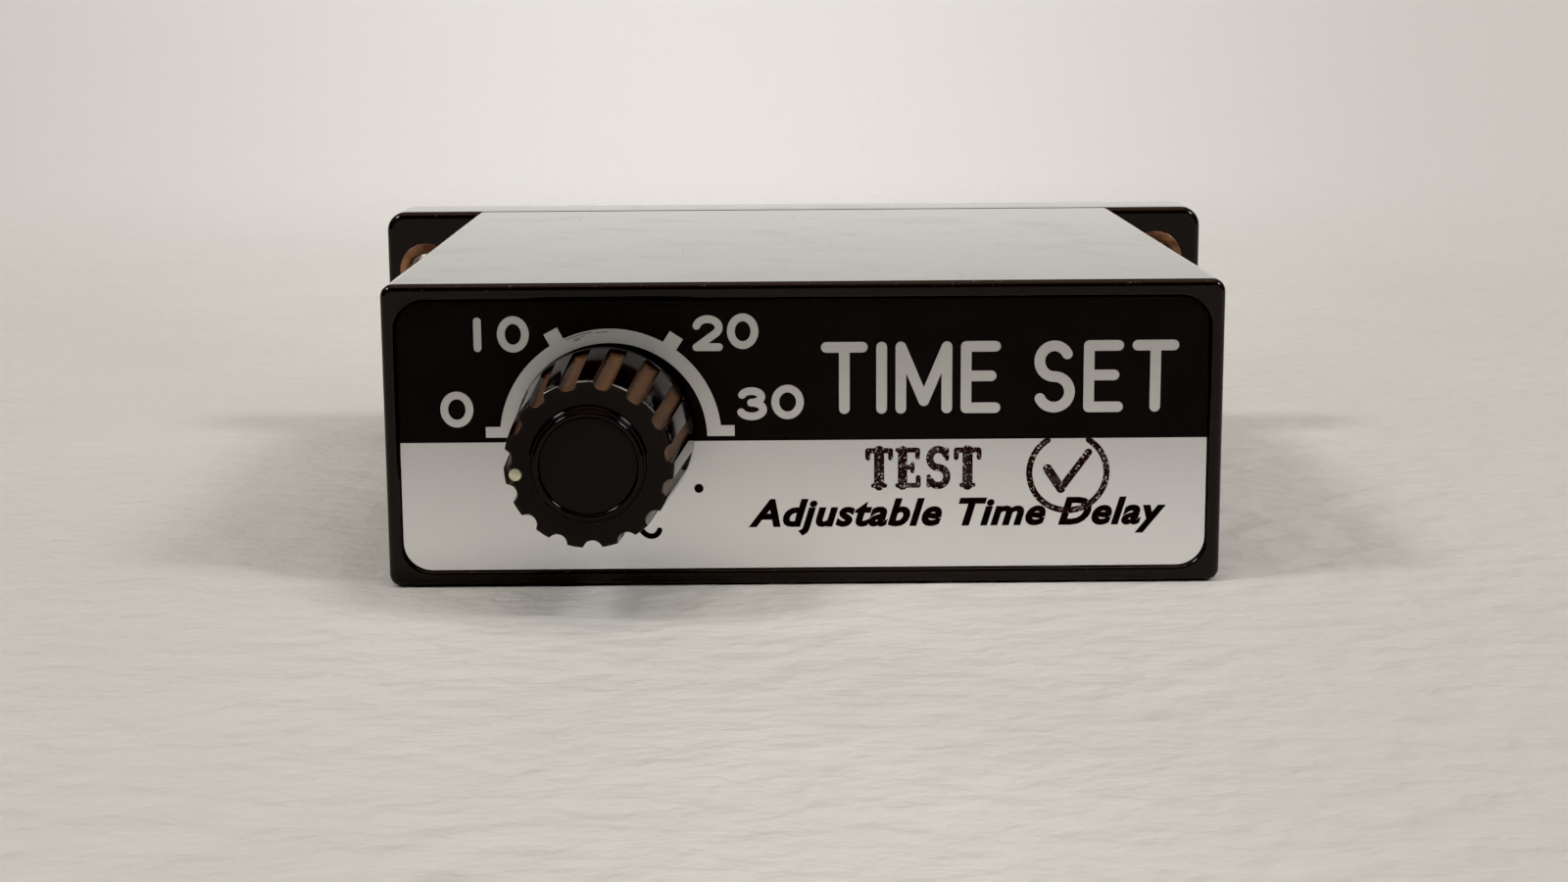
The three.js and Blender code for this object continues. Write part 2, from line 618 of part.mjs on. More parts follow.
function relayCoil() {
  const { x, hinge, hingeZ } = RELAY;
  const [low, high] = [BOARD_TOP + 4.3, hingeZ - 2.3];
  const y = hinge - 9;
  const spool = join(
    rodZ(6.4, low + 0.5, high - 0.5, x, y, 20),
    rodZ(7.6, low, low + 0.8, x, y, 20),
    rodZ(7.6, high - 0.8, high, x, y, 20),
  );
  return cut(spool, rodZ(2.4 + TOUCH, low - 1, high + 1, x, y));
}

function relayArmature() {
  const { x, hinge, hingeZ, halfWidth } = RELAY;
  const half = halfWidth - 1;
  const top = hingeZ + 1.2;
  const plate = block([x - half, hinge - 13.5, hingeZ], [x + half, hinge + 3, top]);
  const lip = block([x - half, hinge + 1.9, hingeZ - 3], [x + half, hinge + 3, top]);
  return join(plate, lip);
}

const contactY = RELAY.hinge - 17;

// The moving contact is a button on a thin strip on top of the armature.
function relayContactSpring() {
  const { x, hinge, hingeZ } = RELAY;
  const under = hingeZ + 1.5;
  const strip = block([x - 2, contactY - 1.4, under], [x + 2, hinge - 4, under + 0.3]);
  return join(strip, rodZ(1, under - 0.5, under + 0.8, x, contactY, 12));
}

// A fixed contact: a strip that rises from the relay's base and turns in over or under the button.
function fixedContact(side, buttonLow, buttonHigh, stripZ) {
  const { x } = RELAY;
  const foot = BOARD_TOP + 2.6;
  const reach = side * 6;
  const [xa, xb] = [Math.min(x + reach, x), Math.max(x + reach, x)];
  const upright = block(
    [x + reach - 1, contactY - 1.2, foot],
    [x + reach + 1, contactY - 0.8, stripZ + 0.4],
  );
  const across = block([xa - 1, contactY - 1.2, stripZ], [xb + 1, contactY + 1, stripZ + 0.4]);
  return join(upright, across, rodZ(0.9, buttonLow, buttonHigh, x, contactY, 12));
}

piece("relay_base", "brown", block(
  [RELAY.x - RELAY.halfWidth, RELAY.front, BOARD_TOP + TOUCH],
  [RELAY.x + RELAY.halfWidth, RELAY.hinge + 4, BOARD_TOP + 2.3],
));
piece("relay_yoke", "iron", relayYoke());
piece("relay_coil", "winding", relayCoil());
piece("relay_armature", "iron", relayArmature());
piece("relay_contact_spring", "copper", relayContactSpring());
const buttonZ = RELAY.hingeZ + 1.5;
piece("relay_contact_open", "silver", fixedContact(-1, buttonZ - 2.7, buttonZ - 1.8, buttonZ - 2.9));
piece("relay_contact_closed", "silver", fixedContact(1, buttonZ + 1, buttonZ + 1.9, buttonZ + 1.7));

// ---- contact block ----

const pinX = (i) => (i - (PIN.count - 1) / 2) * PIN.pitch;

function contactCarrier() {
  const { halfWidth, low, high, start, lip, brim } = CARRIER;
  const core = centredBlock(halfWidth, start, CARRIER_REAR, low, high);
  const cover = centredBlock(halfWidth + lip, COVER_SEAT, CARRIER_REAR, low - brim, high + brim);
  const slots = Array.from({ length: PIN.count }, (_, i) =>
    block(
      [pinX(i) - PIN.thick / 2 - 0.15, start - 1, PIN.z - PIN.width / 2 - 0.15],
      [pinX(i) + PIN.thick / 2 + 0.15, FLANGE_REAR + 1, PIN.z + PIN.width / 2 + 0.15],
    ),
  );
  const holes = [-1, 1].map((side) =>
    rodY(1.3, COVER_SEAT - 1, FLANGE_REAR + 1, side * (halfWidth + lip / 2), MID_Z, 12),
  );
  return cut(join(core, cover), ...slots, ...holes);
}

// A flat blade that passes through the carrier, with a tail down to the board.
function contactPin(i) {
  const half = PIN.thick / 2;
  const [low, high] = [PIN.z - PIN.width / 2, PIN.z + PIN.width / 2];
  const shape = new THREE.Shape();
  shape.moveTo(PIN.tail, BOARD_TOP + 0.1);
  shape.lineTo(PIN.tail + 1.4, BOARD_TOP + 0.1);
  shape.lineTo(PIN.tail + 1.4, low);
  shape.lineTo(PIN_END - 1.5, low);
  shape.lineTo(PIN_END, low + 1.2);
  shape.lineTo(PIN_END, high - 1.2);
  shape.lineTo(PIN_END - 1.5, high);
  shape.lineTo(PIN.tail, high);
  shape.closePath();
  const blade = new THREE.ExtrudeGeometry(shape, { depth: PIN.thick, bevelEnabled: false });
  return blade.rotateZ(Math.PI / 2).rotateY(Math.PI / 2).translate(pinX(i) - half, 0, 0);
}

function carrierScrew(side) {
  const top = CARRIER_REAR + 1.8;
  const x = side * (CARRIER.halfWidth + CARRIER.lip / 2);
  return screwY(x, MID_Z, 1, 2.2, 1.7, FLANGE_REAR - 5.5, top);
}

piece("contact_carrier", "brown", contactCarrier());
for (let i = 0; i < PIN.count; i += 1) piece(`contact_pin_${i + 1}`, "silver", contactPin(i));
[-1, 1].forEach((side, i) => piece(`carrier_screw_${i + 1}`, "steel", carrierScrew(side)));

// ---- the whole ----

timer.position.y = -(KNOB_TIP + PIN_END) / 2;
const part = new THREE.Group();
part.add(timer);

export default part;
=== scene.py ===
import math

import bmesh
import bpy
from mathutils import Matrix, Vector
from mathutils.geometry import delaunay_2d_cdt


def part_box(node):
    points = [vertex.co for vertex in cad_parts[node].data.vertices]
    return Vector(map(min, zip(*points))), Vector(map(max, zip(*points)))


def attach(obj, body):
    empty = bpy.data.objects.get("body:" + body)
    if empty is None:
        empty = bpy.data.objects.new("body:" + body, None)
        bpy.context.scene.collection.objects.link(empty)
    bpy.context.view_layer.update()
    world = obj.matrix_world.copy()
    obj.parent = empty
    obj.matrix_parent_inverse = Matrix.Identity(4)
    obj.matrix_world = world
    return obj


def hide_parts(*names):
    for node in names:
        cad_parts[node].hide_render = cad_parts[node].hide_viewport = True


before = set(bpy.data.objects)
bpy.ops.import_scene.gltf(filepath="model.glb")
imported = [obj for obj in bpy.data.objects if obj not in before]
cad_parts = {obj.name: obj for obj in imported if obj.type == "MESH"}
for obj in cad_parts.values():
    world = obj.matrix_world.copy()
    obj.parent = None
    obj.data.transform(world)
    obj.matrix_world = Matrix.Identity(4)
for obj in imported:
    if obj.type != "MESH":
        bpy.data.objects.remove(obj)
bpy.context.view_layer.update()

SCENE = bpy.context.scene
MM = 0.001
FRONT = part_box("case_shell")[0].y


def at(x, y, z):
    """A place in millimetres as a point in the model's frame."""
    return Vector((x * MM, FRONT + y * MM, z * MM))


def extent(node):
    """A node's (x0, x1), (y0, y1) and (z0, z1) in millimetres."""
    low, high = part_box(node)
    ahead = Vector((0, FRONT, 0))
    return [(a / MM, b / MM) for a, b in zip(low - ahead, high - ahead)]


def middle(span):
    return (span[0] + span[1]) / 2


def half(span):
    return (span[1] - span[0]) / 2


# ---- sizes that the frame doesn't give ----

CASE = {
    "wall": 2.5, "front": 3.2, "corner": 1.3, "edge": 0.8, "lip": 0.35,
    "boss": 3.6, "boss_length": 18, "pilot": 1.8, "bush_hole": 3.8,
}
PLATE = {"corner": 3.0, "gap": 0.1, "edge": 0.06}
FLANGE = {
    "corner": 2.5, "edge": 1.0, "wall": 2.0, "rim": 4.0,
    "shank_hole": 1.8, "screw_seat": 3.0, "screw_hole": 3.3,
    "arm": 3.0, "arm_reach": 10.0, "arm_hole": 1.3, "arm_hole_in": 6.0,
}
CARRIER = {"lip": 5.5, "cover": 1.4, "brim": 1.5, "pilot": 1.3, "pilot_deep": 6.5, "pilot_out": 2.45}
EYELET = {"bore": 2.1, "barrel": 2.6, "lip": 0.35}
# The knob's pointer angle is in degrees, and its lean is how far its face stands off its axis.
KNOB = {
    "front_radius": 8.2, "chamfer": 0.3, "ring": 0.8, "pointer": 172.5, "lean": (-0.6, -0.15),
    "flutes": 15, "flute_radius": 0.98, "flute_depth": 0.8, "dot_hole": 0.75, "dot_deep": 0.55,
    "back_round": 0.3, "ring_round": 0.25, "flat": 7.3, "boss_radius": 5.35, "boss_height": 0.7,
    "boss_foot": 0.4, "boss_lip": 0.32, "boss_dish": 0.26, "cavity": 7.3, "cavity_depth": 4.2,
    "hub": 4.9, "hub_depth": 9.2, "set_screw": 1.65, "set_screw_behind": 8.2,
}
INK = 0.02
CLEAR = 0.3
CAMERA = {
    "lens": 56.25, "sensor": 36.0, "place": (-3.6, -247.0, 60.3),
    "pitch": 10.36, "yaw": 0.36, "roll": -0.37,
}

CASE_X, CASE_Y, CASE_Z = extent("case_shell")
PLATE_X, PLATE_Y, PLATE_Z = extent("nameplate")
FLANGE_X, _, FLANGE_Z = extent("base_flange")
FLANGE_Y = (CASE_Y[1] + 0.04, extent("base_flange")[1][1])
KNOB_X, KNOB_Y, _ = extent("knob")
SHAFT_X, _, SHAFT_Z = extent("pot_shaft")
AXIS = (middle(SHAFT_X), middle(SHAFT_Z))
MID_Z = middle(CASE_Z)


# ---- shapes: a shape is (points, faces) in millimetres ----


def rounded_ring(xs, zs, radius, y, inset=0.0, steps=8):
    """A rectangle with round corners, square to Y."""
    x0, x1, z0, z1 = xs[0] + inset, xs[1] - inset, zs[0] + inset, zs[1] - inset
    r = max(radius - inset, 0.05)
    corners = [(x1 - r, z0 + r, -90), (x1 - r, z1 - r, 0), (x0 + r, z1 - r, 90), (x0 + r, z0 + r, 180)]
    points = []
    for cx, cz, start in corners:
        for i in range(steps + 1):
            a = math.radians(start + 90 * i / steps)
            points.append((cx + r * math.cos(a), y, cz + r * math.sin(a)))
    return points


def loft(rings, closed=False):
    """Rings of equally many points joined by quads, with a face over each end unless it is closed."""
    n = len(rings[0])
    points = [p for ring in rings for p in ring]
    pairs = [(k, k + 1) for k in range(len(rings) - 1)]
    if closed:
        pairs.append((len(rings) - 1, 0))
    faces = []
    for a, b in pairs:
        for i in range(n):
            j = (i + 1) % n
            faces.append((a * n + i, a * n + j, b * n + j, b * n + i))
    if not closed:
        faces.append(tuple(range(n)))
        faces.append(tuple(range((len(rings) - 1) * n, len(rings) * n)))
    return points, faces


def turned(profile, x, z, sides=64, closed=False):
    """A turned shape on the line x, z along Y, from (radius, y) pairs."""
    rings = []
    for radius, y in profile:
        turn = [2 * math.pi * i / sides for i in range(sides)]
        rings.append([(x + radius * math.cos(a), y, z + radius * math.sin(a)) for a in turn])
    return loft(rings, closed)


def rod(radius, y0, y1, x, z, sides=48):
    """A round bar on the line x, z along Y."""
    return turned([(radius, y0), (radius, y1)], x, z, sides)


def box(low, high):
    """A block between two corners."""
    ring = [(low[0], low[2]), (high[0], low[2]), (high[0], high[2]), (low[0], high[2])]
    return loft([[(x, low[1], z) for x, z in ring], [(x, high[1], z) for x, z in ring]])


def arc(cx, cy, radius, a0, a1, steps=6):
    """Points of a round stretch, as (radius, y) or (x, z) pairs; angles in degrees."""
    turn = [math.radians(a0 + (a1 - a0) * i / steps) for i in range(steps + 1)]
    return [(cx + radius * math.cos(a), cy + radius * math.sin(a)) for a in turn]


def turn_onto(shape, direction, origin):
    """Lays a shape made along Y along another direction."""
    turn = Vector((0, 1, 0)).rotation_difference(Vector(direction)).to_matrix()
    return [tuple(turn @ Vector(p) + Vector(origin)) for p in shape[0]], shape[1]


def temporary(shape):
    """An object of its own for a boolean to use, in millimetres."""
    mesh = bpy.data.meshes.new("tool")
    mesh.from_pydata(shape[0], [], shape[1])
    tidy(mesh)
    piece = bpy.data.objects.new("tool", mesh)
    SCENE.collection.objects.link(piece)
    return piece


def tidy(mesh, distance=1e-5):
    """Merges doubled points, drops faces with no area and turns all faces outwards."""
    bm = bmesh.new()
    bm.from_mesh(mesh)
    bmesh.ops.remove_doubles(bm, verts=bm.verts, dist=distance)
    bmesh.ops.dissolve_degenerate(bm, edges=bm.edges, dist=distance)
    bmesh.ops.recalc_face_normals(bm, faces=bm.faces)
    bm.to_mesh(mesh)
    bm.free()


def combined(operation, first, others):
    """The shape that a boolean of closed shapes leaves."""
    base = temporary(first)
    tools = [temporary(shape) for shape in others]
    for tool in tools:
        modifier = base.modifiers.new("boolean", "BOOLEAN")
        modifier.operation = operation
        modifier.solver = "EXACT"
        modifier.object = tool
    made = base.evaluated_get(bpy.context.evaluated_depsgraph_get()).to_mesh()
    shape = [tuple(v.co) for v in made.vertices], [tuple(p.vertices) for p in made.polygons]
    for used in [base, *tools]:
        mesh = used.data
        bpy.data.objects.remove(used)
        bpy.data.meshes.remove(mesh)
    return shape


def cut(first, *others):
    """The first shape less the others."""
    return combined("DIFFERENCE", first, others)


def join(first, *others):
    """All the shapes as one."""
    return combined("UNION", first, others)


# ---- pieces ----


def soften(piece, angle=32, bevel=0.0, segments=2):
    """Smooth shading between sharp edges, after an optional bevel along the edges."""
    if bevel:
        modifier = piece.modifiers.new("edges", "BEVEL")
        modifier.width = bevel * MM
        modifier.segments = segments
        modifier.limit_method = "ANGLE"
        modifier.angle_limit = math.radians(30)
        modifier.use_clamp_overlap = True
    piece.data.shade_smooth()
    piece.data.set_sharp_from_angle(angle=math.radians(angle))
    modifier = piece.modifiers.new("normals", "WEIGHTED_NORMAL")
    modifier.keep_sharp = True
    modifier.weight = 80


def make(name, shape, finish, body, replaces=(), angle=32, bevel=0.0):
    """A finished piece that rides on a body and stands in for CAD nodes."""
    mesh = bpy.data.meshes.new(name)
    mesh.from_pydata([at(*p) for p in shape[0]], [], shape[1])
    tidy(mesh, 1e-8)
    mesh.materials.append(finish)
    piece = bpy.data.objects.new(name, mesh)
    SCENE.collection.objects.link(piece)
    soften(piece, angle, bevel)
    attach(piece, body)
    if replaces:
        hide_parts(*replaces)
    return piece


# ---- flat print: closed outlines in X and Z, given a thickness ----


def counter_clockwise(loop):
    """An outline turned the way that its area counts as positive."""
    area = sum(a[0] * b[1] - b[0] * a[1] for a, b in zip(loop, loop[1:] + loop[:1]))
    return loop if area > 0 else loop[::-1]


def printed(loops, holes, back, front):
    """A thin layer over all the outlines, less the holes."""
    outlines = [counter_clockwise(loop) for loop in [*loops, *holes]]
    points, faces = [], []
    for loop in outlines:
        faces.append(list(range(len(points), len(points) + len(loop))))
        points += [Vector(p) for p in loop]
    flat, _, triangles, _, _, origins = delaunay_2d_cdt(points, [], faces, 1, 1e-5)
    inside = set(range(len(loops)))
    kept = [list(t) for t, owners in zip(triangles, origins) if owners and set(owners) <= inside]
    used = sorted({i for t in kept for i in t})
    place = {v: k for k, v in enumerate(used)}
    count = len(used)
    edges = {(t[i], t[(i + 1) % 3]) for t in kept for i in range(3)}
    rim = [(a, b) for a, b in edges if (b, a) not in edges]
    solid = [(flat[v].x, front, flat[v].y) for v in used] + [(flat[v].x, back, flat[v].y) for v in used]
    faces = [tuple(place[v] for v in t) for t in kept]
    faces += [tuple(place[v] + count for v in reversed(t)) for t in kept]
    faces += [(place[b], place[a], place[a] + count, place[b] + count) for a, b in sorted(rim)]
    return solid, faces


def ribbon(path, width, cap=7):
    """The outline of a stroke along a path, with round ends."""
    path = [Vector(p) for p in path]
    path = [p for i, p in enumerate(path) if i == 0 or (p - path[i - 1]).length > 1e-4]
    heading = [(b - a).normalized() for a, b in zip(path, path[1:])]
    heading = [heading[0]] + [(a + b).normalized() for a, b in zip(heading, heading[1:])] + [heading[-1]]
    side = [Vector((-h.y, h.x)) * width / 2 for h in heading]
    left = [p + s for p, s in zip(path, side)]
    right = [p - s for p, s in zip(path, side)]

    def end(centre, start):
        turn = [Matrix.Rotation(-math.pi * i / (cap + 1), 2) for i in range(1, cap + 1)]
        return [centre + t @ start for t in turn]

    outline = left + end(path[-1], side[-1]) + right[::-1] + end(path[0], -side[0])
    return [tuple(p) for p in outline]


def bow(cx, cz, rx, rz, a0, a1):
    """A stretch of an ellipse in a letter's own square."""
    steps = max(6, int(abs(a1 - a0) / 9))
    turn = [math.radians(a0 + (a1 - a0) * i / steps) for i in range(steps + 1)]
    return [(cx + rx * math.cos(a), cz + rz * math.sin(a)) for a in turn]


# Each letter is a list of strokes in a square from (0, 0) to (1, 1).
LETTERS = {
    "0": [bow(0.5, 0.5, 0.5, 0.5, 88, 272), bow(0.5, 0.5, 0.5, 0.5, -92, 92)],
    "1": [[(0.5, 0), (0.5, 1)]],
    "2": [bow(0.5, 0.7, 0.5, 0.3, 168, -38) + [(0, 0)], [(0, 0), (1, 0)]],
    "3": [bow(0.47, 0.77, 0.45, 0.23, 160, -92), bow(0.48, 0.27, 0.52, 0.27, 92, -158)],
    "C": [bow(0.5, 0.5, 0.5, 0.5, 48, 312)],
    "E": [[(0, 0), (0, 1)], [(0, 1), (1, 1)], [(0, 0.52), (0.86, 0.52)], [(0, 0), (1, 0)]],
    "I": [[(0.5, 0), (0.5, 1)]],
    "M": [[(0, 0), (0, 1)], [(0, 1), (0.5, 0.12)], [(0.5, 0.12), (1, 1)], [(1, 1), (1, 0)]],
    "S": [bow(0.5, 0.75, 0.47, 0.25, 28, 270) + bow(0.5, 0.25, 0.5, 0.25, 88, -155)],
    "T": [[(0, 1), (1, 1)], [(0.5, 1), (0.5, 0)]],
}
# A letter's width between the middles of its outer strokes, as a share of its height.
WIDTHS = {"I": 0.0, "M": 0.74, "E": 0.47, "T": 0.58, "S": 0.50}


def letter(name, x0, x1, z0, z1, stroke):
    """A letter's outlines, filling the rectangle with its strokes' outer edges."""
    r = stroke / 2
    width, height = max(x1 - x0 - stroke, 0), z1 - z0 - stroke
    start = x0 + r if width else (x0 + x1) / 2

    def place(p):
        return (start + p[0] * width, z0 + r + p[1] * height)

    return [ribbon([place(p) for p in path], stroke) for path in LETTERS[name]]


def word(text, x0, x1, z0, z1, stroke, space=0.0):
    """A line of letters spread evenly from x0 to x1."""
    height = z1 - z0 - stroke
    widths = [space if c == " " else WIDTHS[c] * height + stroke for c in text]
    spread = (x1 - x0 - sum(widths)) / (len(text) - 1)
    loops, x = [], x0
    for c, width in zip(text, widths):
        if c != " ":
            loops += letter(c, x, x + width, z0, z1, stroke)
        x += width + spread
    return loops


def placed(loops, origin, right, up):
    """Outlines moved to another origin and turned onto other directions."""
    return [
        [(origin[0] + x * right[0] + z * up[0], origin[1] + x * right[1] + z * up[1]) for x, z in loop]
        for loop in loops
    ]


# ---- materials ----


class Graph:
    """A material's nodes. A value is a number, a colour or another node's output."""

    def __init__(self, tree):
        self.tree = tree
        tree.nodes.clear()

    def node(self, kind, values=None, output=0, **settings):
        """A new node's output, with its inputs and settings given."""
        made = self.tree.nodes.new("ShaderNode" + kind)
        for name, value in settings.items():
            setattr(made, name, value)
        for name, value in (values or {}).items():
            self.put(made.inputs[name], value)
        return made.outputs[output]

    def put(self, socket, value):
        """Links an output to an input, or sets the input's own value."""
        if isinstance(value, bpy.types.NodeSocket):
            self.tree.links.new(value, socket)
        elif socket.type == "RGBA" and len(value) == 3:
            socket.default_value = (*value, 1)
        else:
            socket.default_value = value

    def place(self, stretch=(1, 1, 1)):
        """Where a point is in its piece, in millimetres times the stretch."""
        spot = self.node("TexCoord", output=3)
        scale = tuple(s / MM for s in stretch)
        return self.node("VectorMath", {0: spot, 1: scale}, operation="MULTIPLY")

    def noise(self, size, detail=3.0, roughness=0.55, stretch=(1, 1, 1)):
        """Cloudy noise from 0 to 1 with spots of about that size in millimetres."""
        values = {
            "Vector": self.place(stretch),
            "Scale": 1 / size,
            "Detail": detail,
            "Roughness": roughness,
        }
        return self.node("TexNoise", values)

    def ramp(self, value, low, high, start=0.0, end=1.0):
        """From start to end as the value goes from low to high, eased at both ends."""
        values = {"Value": value, "From Min": low, "From Max": high, "To Min": start, "To Max": end}
        return self.node("MapRange", values, interpolation_type="SMOOTHSTEP")

    def mix(self, factor, a, b):
        return self.node("Mix", {0: factor, 6: a, 7: b}, output=2, data_type="RGBA")

    def math(self, operation, a, b=0.0):
        return self.node("Math", {0: a, 1: b}, operation=operation)

    def bump(self, height, distance):
        """A bump of that height in millimetres."""
        return self.node("Bump", {"Height": height, "Distance": distance * MM, "Strength": 1.0})

    def facing(self, axis):
        """How far the surface faces along an axis of its piece, from -1 to 1."""
        normal = self.node("TexCoord", output=1)
        return self.node("SeparateXYZ", {0: normal}, output="XYZ".index(axis))


def material(name, build):
    """A material whose shader inputs come from build(graph)."""
    made = bpy.data.materials.new(name)
    made.use_nodes = True
    graph = Graph(made.node_tree)
    shader = graph.node("BsdfPrincipled", build(graph))
    output = made.node_tree.nodes.new("ShaderNodeOutputMaterial")
    made.node_tree.links.new(shader, output.inputs["Surface"])
    return made


def phenolic(g):
    """Polished black moulding: smudges, fine scratches and dust on what faces up."""
    smudge = g.ramp(g.noise(9, 4), 0.45, 0.7)
    scratch = g.ramp(g.noise(0.25, 2, stretch=(1, 0.03, 1)), 0.62, 0.75)
    cloudy = g.ramp(g.noise(3, 6, 0.75, stretch=(1, 0.6, 1)), 0.2, 0.8, 0.75, 1.0)
    dust = g.math("MULTIPLY", g.ramp(g.facing("Z"), 0.6, 0.98), cloudy)
    lint = g.ramp(g.noise(0.9, 2, 0.6, stretch=(1, 0.2, 1)), 0.73, 0.80)
    specks = g.math("MAXIMUM", g.ramp(g.noise(0.35, 2), 0.69, 0.74), lint)
    specks = g.math("MULTIPLY", specks, g.ramp(g.facing("Z"), 0.2, 0.9, 0.12, 1.0))
    film = g.math("ADD", g.math("MULTIPLY", dust, 0.03), g.math("MULTIPLY", specks, 0.25))
    rough = g.math("ADD", g.ramp(smudge, 0, 1, 0.10, 0.125), g.math("MULTIPLY", scratch, 0.05))
    return {
        "Base Color": g.mix(film, (0.0065, 0.0048, 0.0042), (0.42, 0.38, 0.33)),
        "Roughness": g.math("ADD", rough, g.math("MULTIPLY", film, 0.5)),
        "IOR": 1.33,
        "Normal": g.bump(g.noise(2.2, 3), 0.003),
    }


def knob_black(g):
    """The knob's moulding, with a brownish tone down in its flutes: dirt, and a painted reflection of tan
    surroundings.
    """
    groove = g.node("Attribute", output=2, attribute_name="groove")
    cloudy = g.noise(1.4, 3)
    # Dirt and painted reflection: a brownish tone that grows stronger deeper down in the flutes.
    dirt_and_painted_reflection = g.math("MULTIPLY", g.ramp(groove, 0.25, 0.95), g.ramp(cloudy, 0.2, 0.6, 0.65, 1.0))
    smudge = g.ramp(g.noise(5, 4), 0.42, 0.7)
    edge = g.node("Attribute", output=2, attribute_name="edge")
    # A painted highlight along the upper half of the knob's front edge, broken up by noise.
    painted_edge_highlight = g.math("MULTIPLY", g.ramp(edge, 0.3, 0.9), g.ramp(g.noise(1.6, 3), 0.35, 0.6, 0.2, 1.0))
    tone = g.mix(dirt_and_painted_reflection, (0.0055, 0.0044, 0.0046), (0.100, 0.055, 0.031))
    return {
        "Base Color": g.mix(painted_edge_highlight, tone, (0.20, 0.185, 0.17)),
        "Roughness": g.math("ADD", g.ramp(smudge, 0, 1, 0.08, 0.18), g.math("MULTIPLY", dirt_and_painted_reflection, 0.35)),
        "IOR": 1.27,
        "Normal": g.bump(g.noise(1.1, 3), 0.003),
    }


def plate_metal(g):
    """Satin aluminium sheet, with painted shade that darkens it towards its top and its left end."""
    cloudy = g.noise(14, 4)
    grain = g.noise(0.18, 2, stretch=(0.12, 1, 1))
    tone = g.math("ADD", g.ramp(cloudy, 0.3, 0.7, 0.35, 0.65), g.math("MULTIPLY", grain, 0.25))
    across, up = (g.node("SeparateXYZ", {0: g.place()}, output=i) for i in (0, 2))
    # Painted shade: the metal darkens towards the top and, a little, towards the left end.
    painted_shade = g.math("ADD", g.ramp(up, 0, 27, 0.0, 0.75), g.ramp(across, 42, -40, 0.0, 0.15))
    unshaded_metal = g.mix(tone, (0.90, 0.90, 0.895), (0.97, 0.97, 0.965))
    return {
        "Base Color": g.mix(painted_shade, unshaded_metal, (0.43, 0.42, 0.41)),
        "Metallic": 1.0,
        "Roughness": g.ramp(cloudy, 0.3, 0.7, 0.33, 0.38),
        "Normal": g.bump(grain, 0.002),
    }


def band_ink(g):
    """Screen-printed black with rubbed, slightly rough patches."""
    cloudy = g.noise(6, 4)
    return {
        "Base Color": g.mix(
            g.ramp(cloudy, 0.3, 0.75), (0.0048, 0.0042, 0.0042), (0.0060, 0.0050, 0.0050)
        ),
        "Roughness": g.ramp(cloudy, 0.2, 0.8, 0.29, 0.33),
        "IOR": 1.22,
        "Normal": g.bump(g.noise(0.5, 2), 0.002),
    }


def text_ink(g):
    """Printed black lettering on bare metal."""
    cloudy = g.noise(0.8, 3)
    return {
        "Base Color": g.mix(g.ramp(cloudy, 0.3, 0.8), (0.003, 0.002, 0.002), (0.009, 0.005, 0.005)),
        "Roughness": 0.5,
        "IOR": 1.2,
        "Normal": g.bump(cloudy, 0.003),
    }


def stamp_ink(g):
    """Rubber-stamp ink that took badly, so the metal's colour shows through in specks."""
    missing = g.ramp(g.noise(0.28, 2, 0.7), 0.60, 0.64)
    thin = g.ramp(g.noise(1.6, 3), 0.5, 0.8, 0.0, 0.10)
    gone = g.math("MAXIMUM", g.math("MULTIPLY", missing, 0.95), thin)
    return {
        "Base Color": g.mix(gone, (0.012, 0.0035, 0.0025), (0.52, 0.47, 0.43)),
        "Roughness": 0.55,
        "IOR": 1.25,
        "Normal": g.bump(g.noise(0.3, 2), 0.004),
    }


def metal(colour, dull, roughness=0.3, size=1.2):
    """A plated or turned metal with tarnish in patches."""

    def build(g):
        patch = g.ramp(g.noise(size * 2.5, 4), 0.35, 0.7)
        grain = g.noise(size * 0.12, 2)
        return {
            "Base Color": g.mix(patch, colour, dull),
            "Metallic": 1.0,
            "Roughness": g.ramp(patch, 0, 1, roughness, roughness + 0.2),
            "Normal": g.bump(grain, 0.004),
        }

    return build


def moulded(colour, other, roughness=0.45, size=1.0, grain=(1, 1, 1)):
    """A plain moulded or painted surface, mottled, with a fine pebbled bump."""

    def build(g):
        patch = g.ramp(g.noise(size * 2, 4, stretch=grain), 0.3, 0.7)
        fine = g.noise(size * 0.15, 2, stretch=grain)
        return {
            "Base Color": g.mix(patch, colour, other),
            "Roughness": g.ramp(fine, 0.3, 0.7, roughness - 0.06, roughness + 0.1),
            "Normal": g.bump(fine, 0.01),
        }

    return build


def winding(g):
    """Varnished copper wire, wound in turns up the spool."""
    height = g.node("SeparateXYZ", {0: g.place()}, output=2)
    turns = g.math("ABSOLUTE", g.math("SINE", g.math("MULTIPLY", height, math.pi / 0.22)))
    return {
        "Base Color": g.mix(g.ramp(g.noise(2, 3), 0.3, 0.7), (0.32, 0.11, 0.03), (0.50, 0.20, 0.06)),
        "Metallic": 0.6,
        "Roughness": 0.32,
        "Normal": g.bump(turns, 0.06),
    }


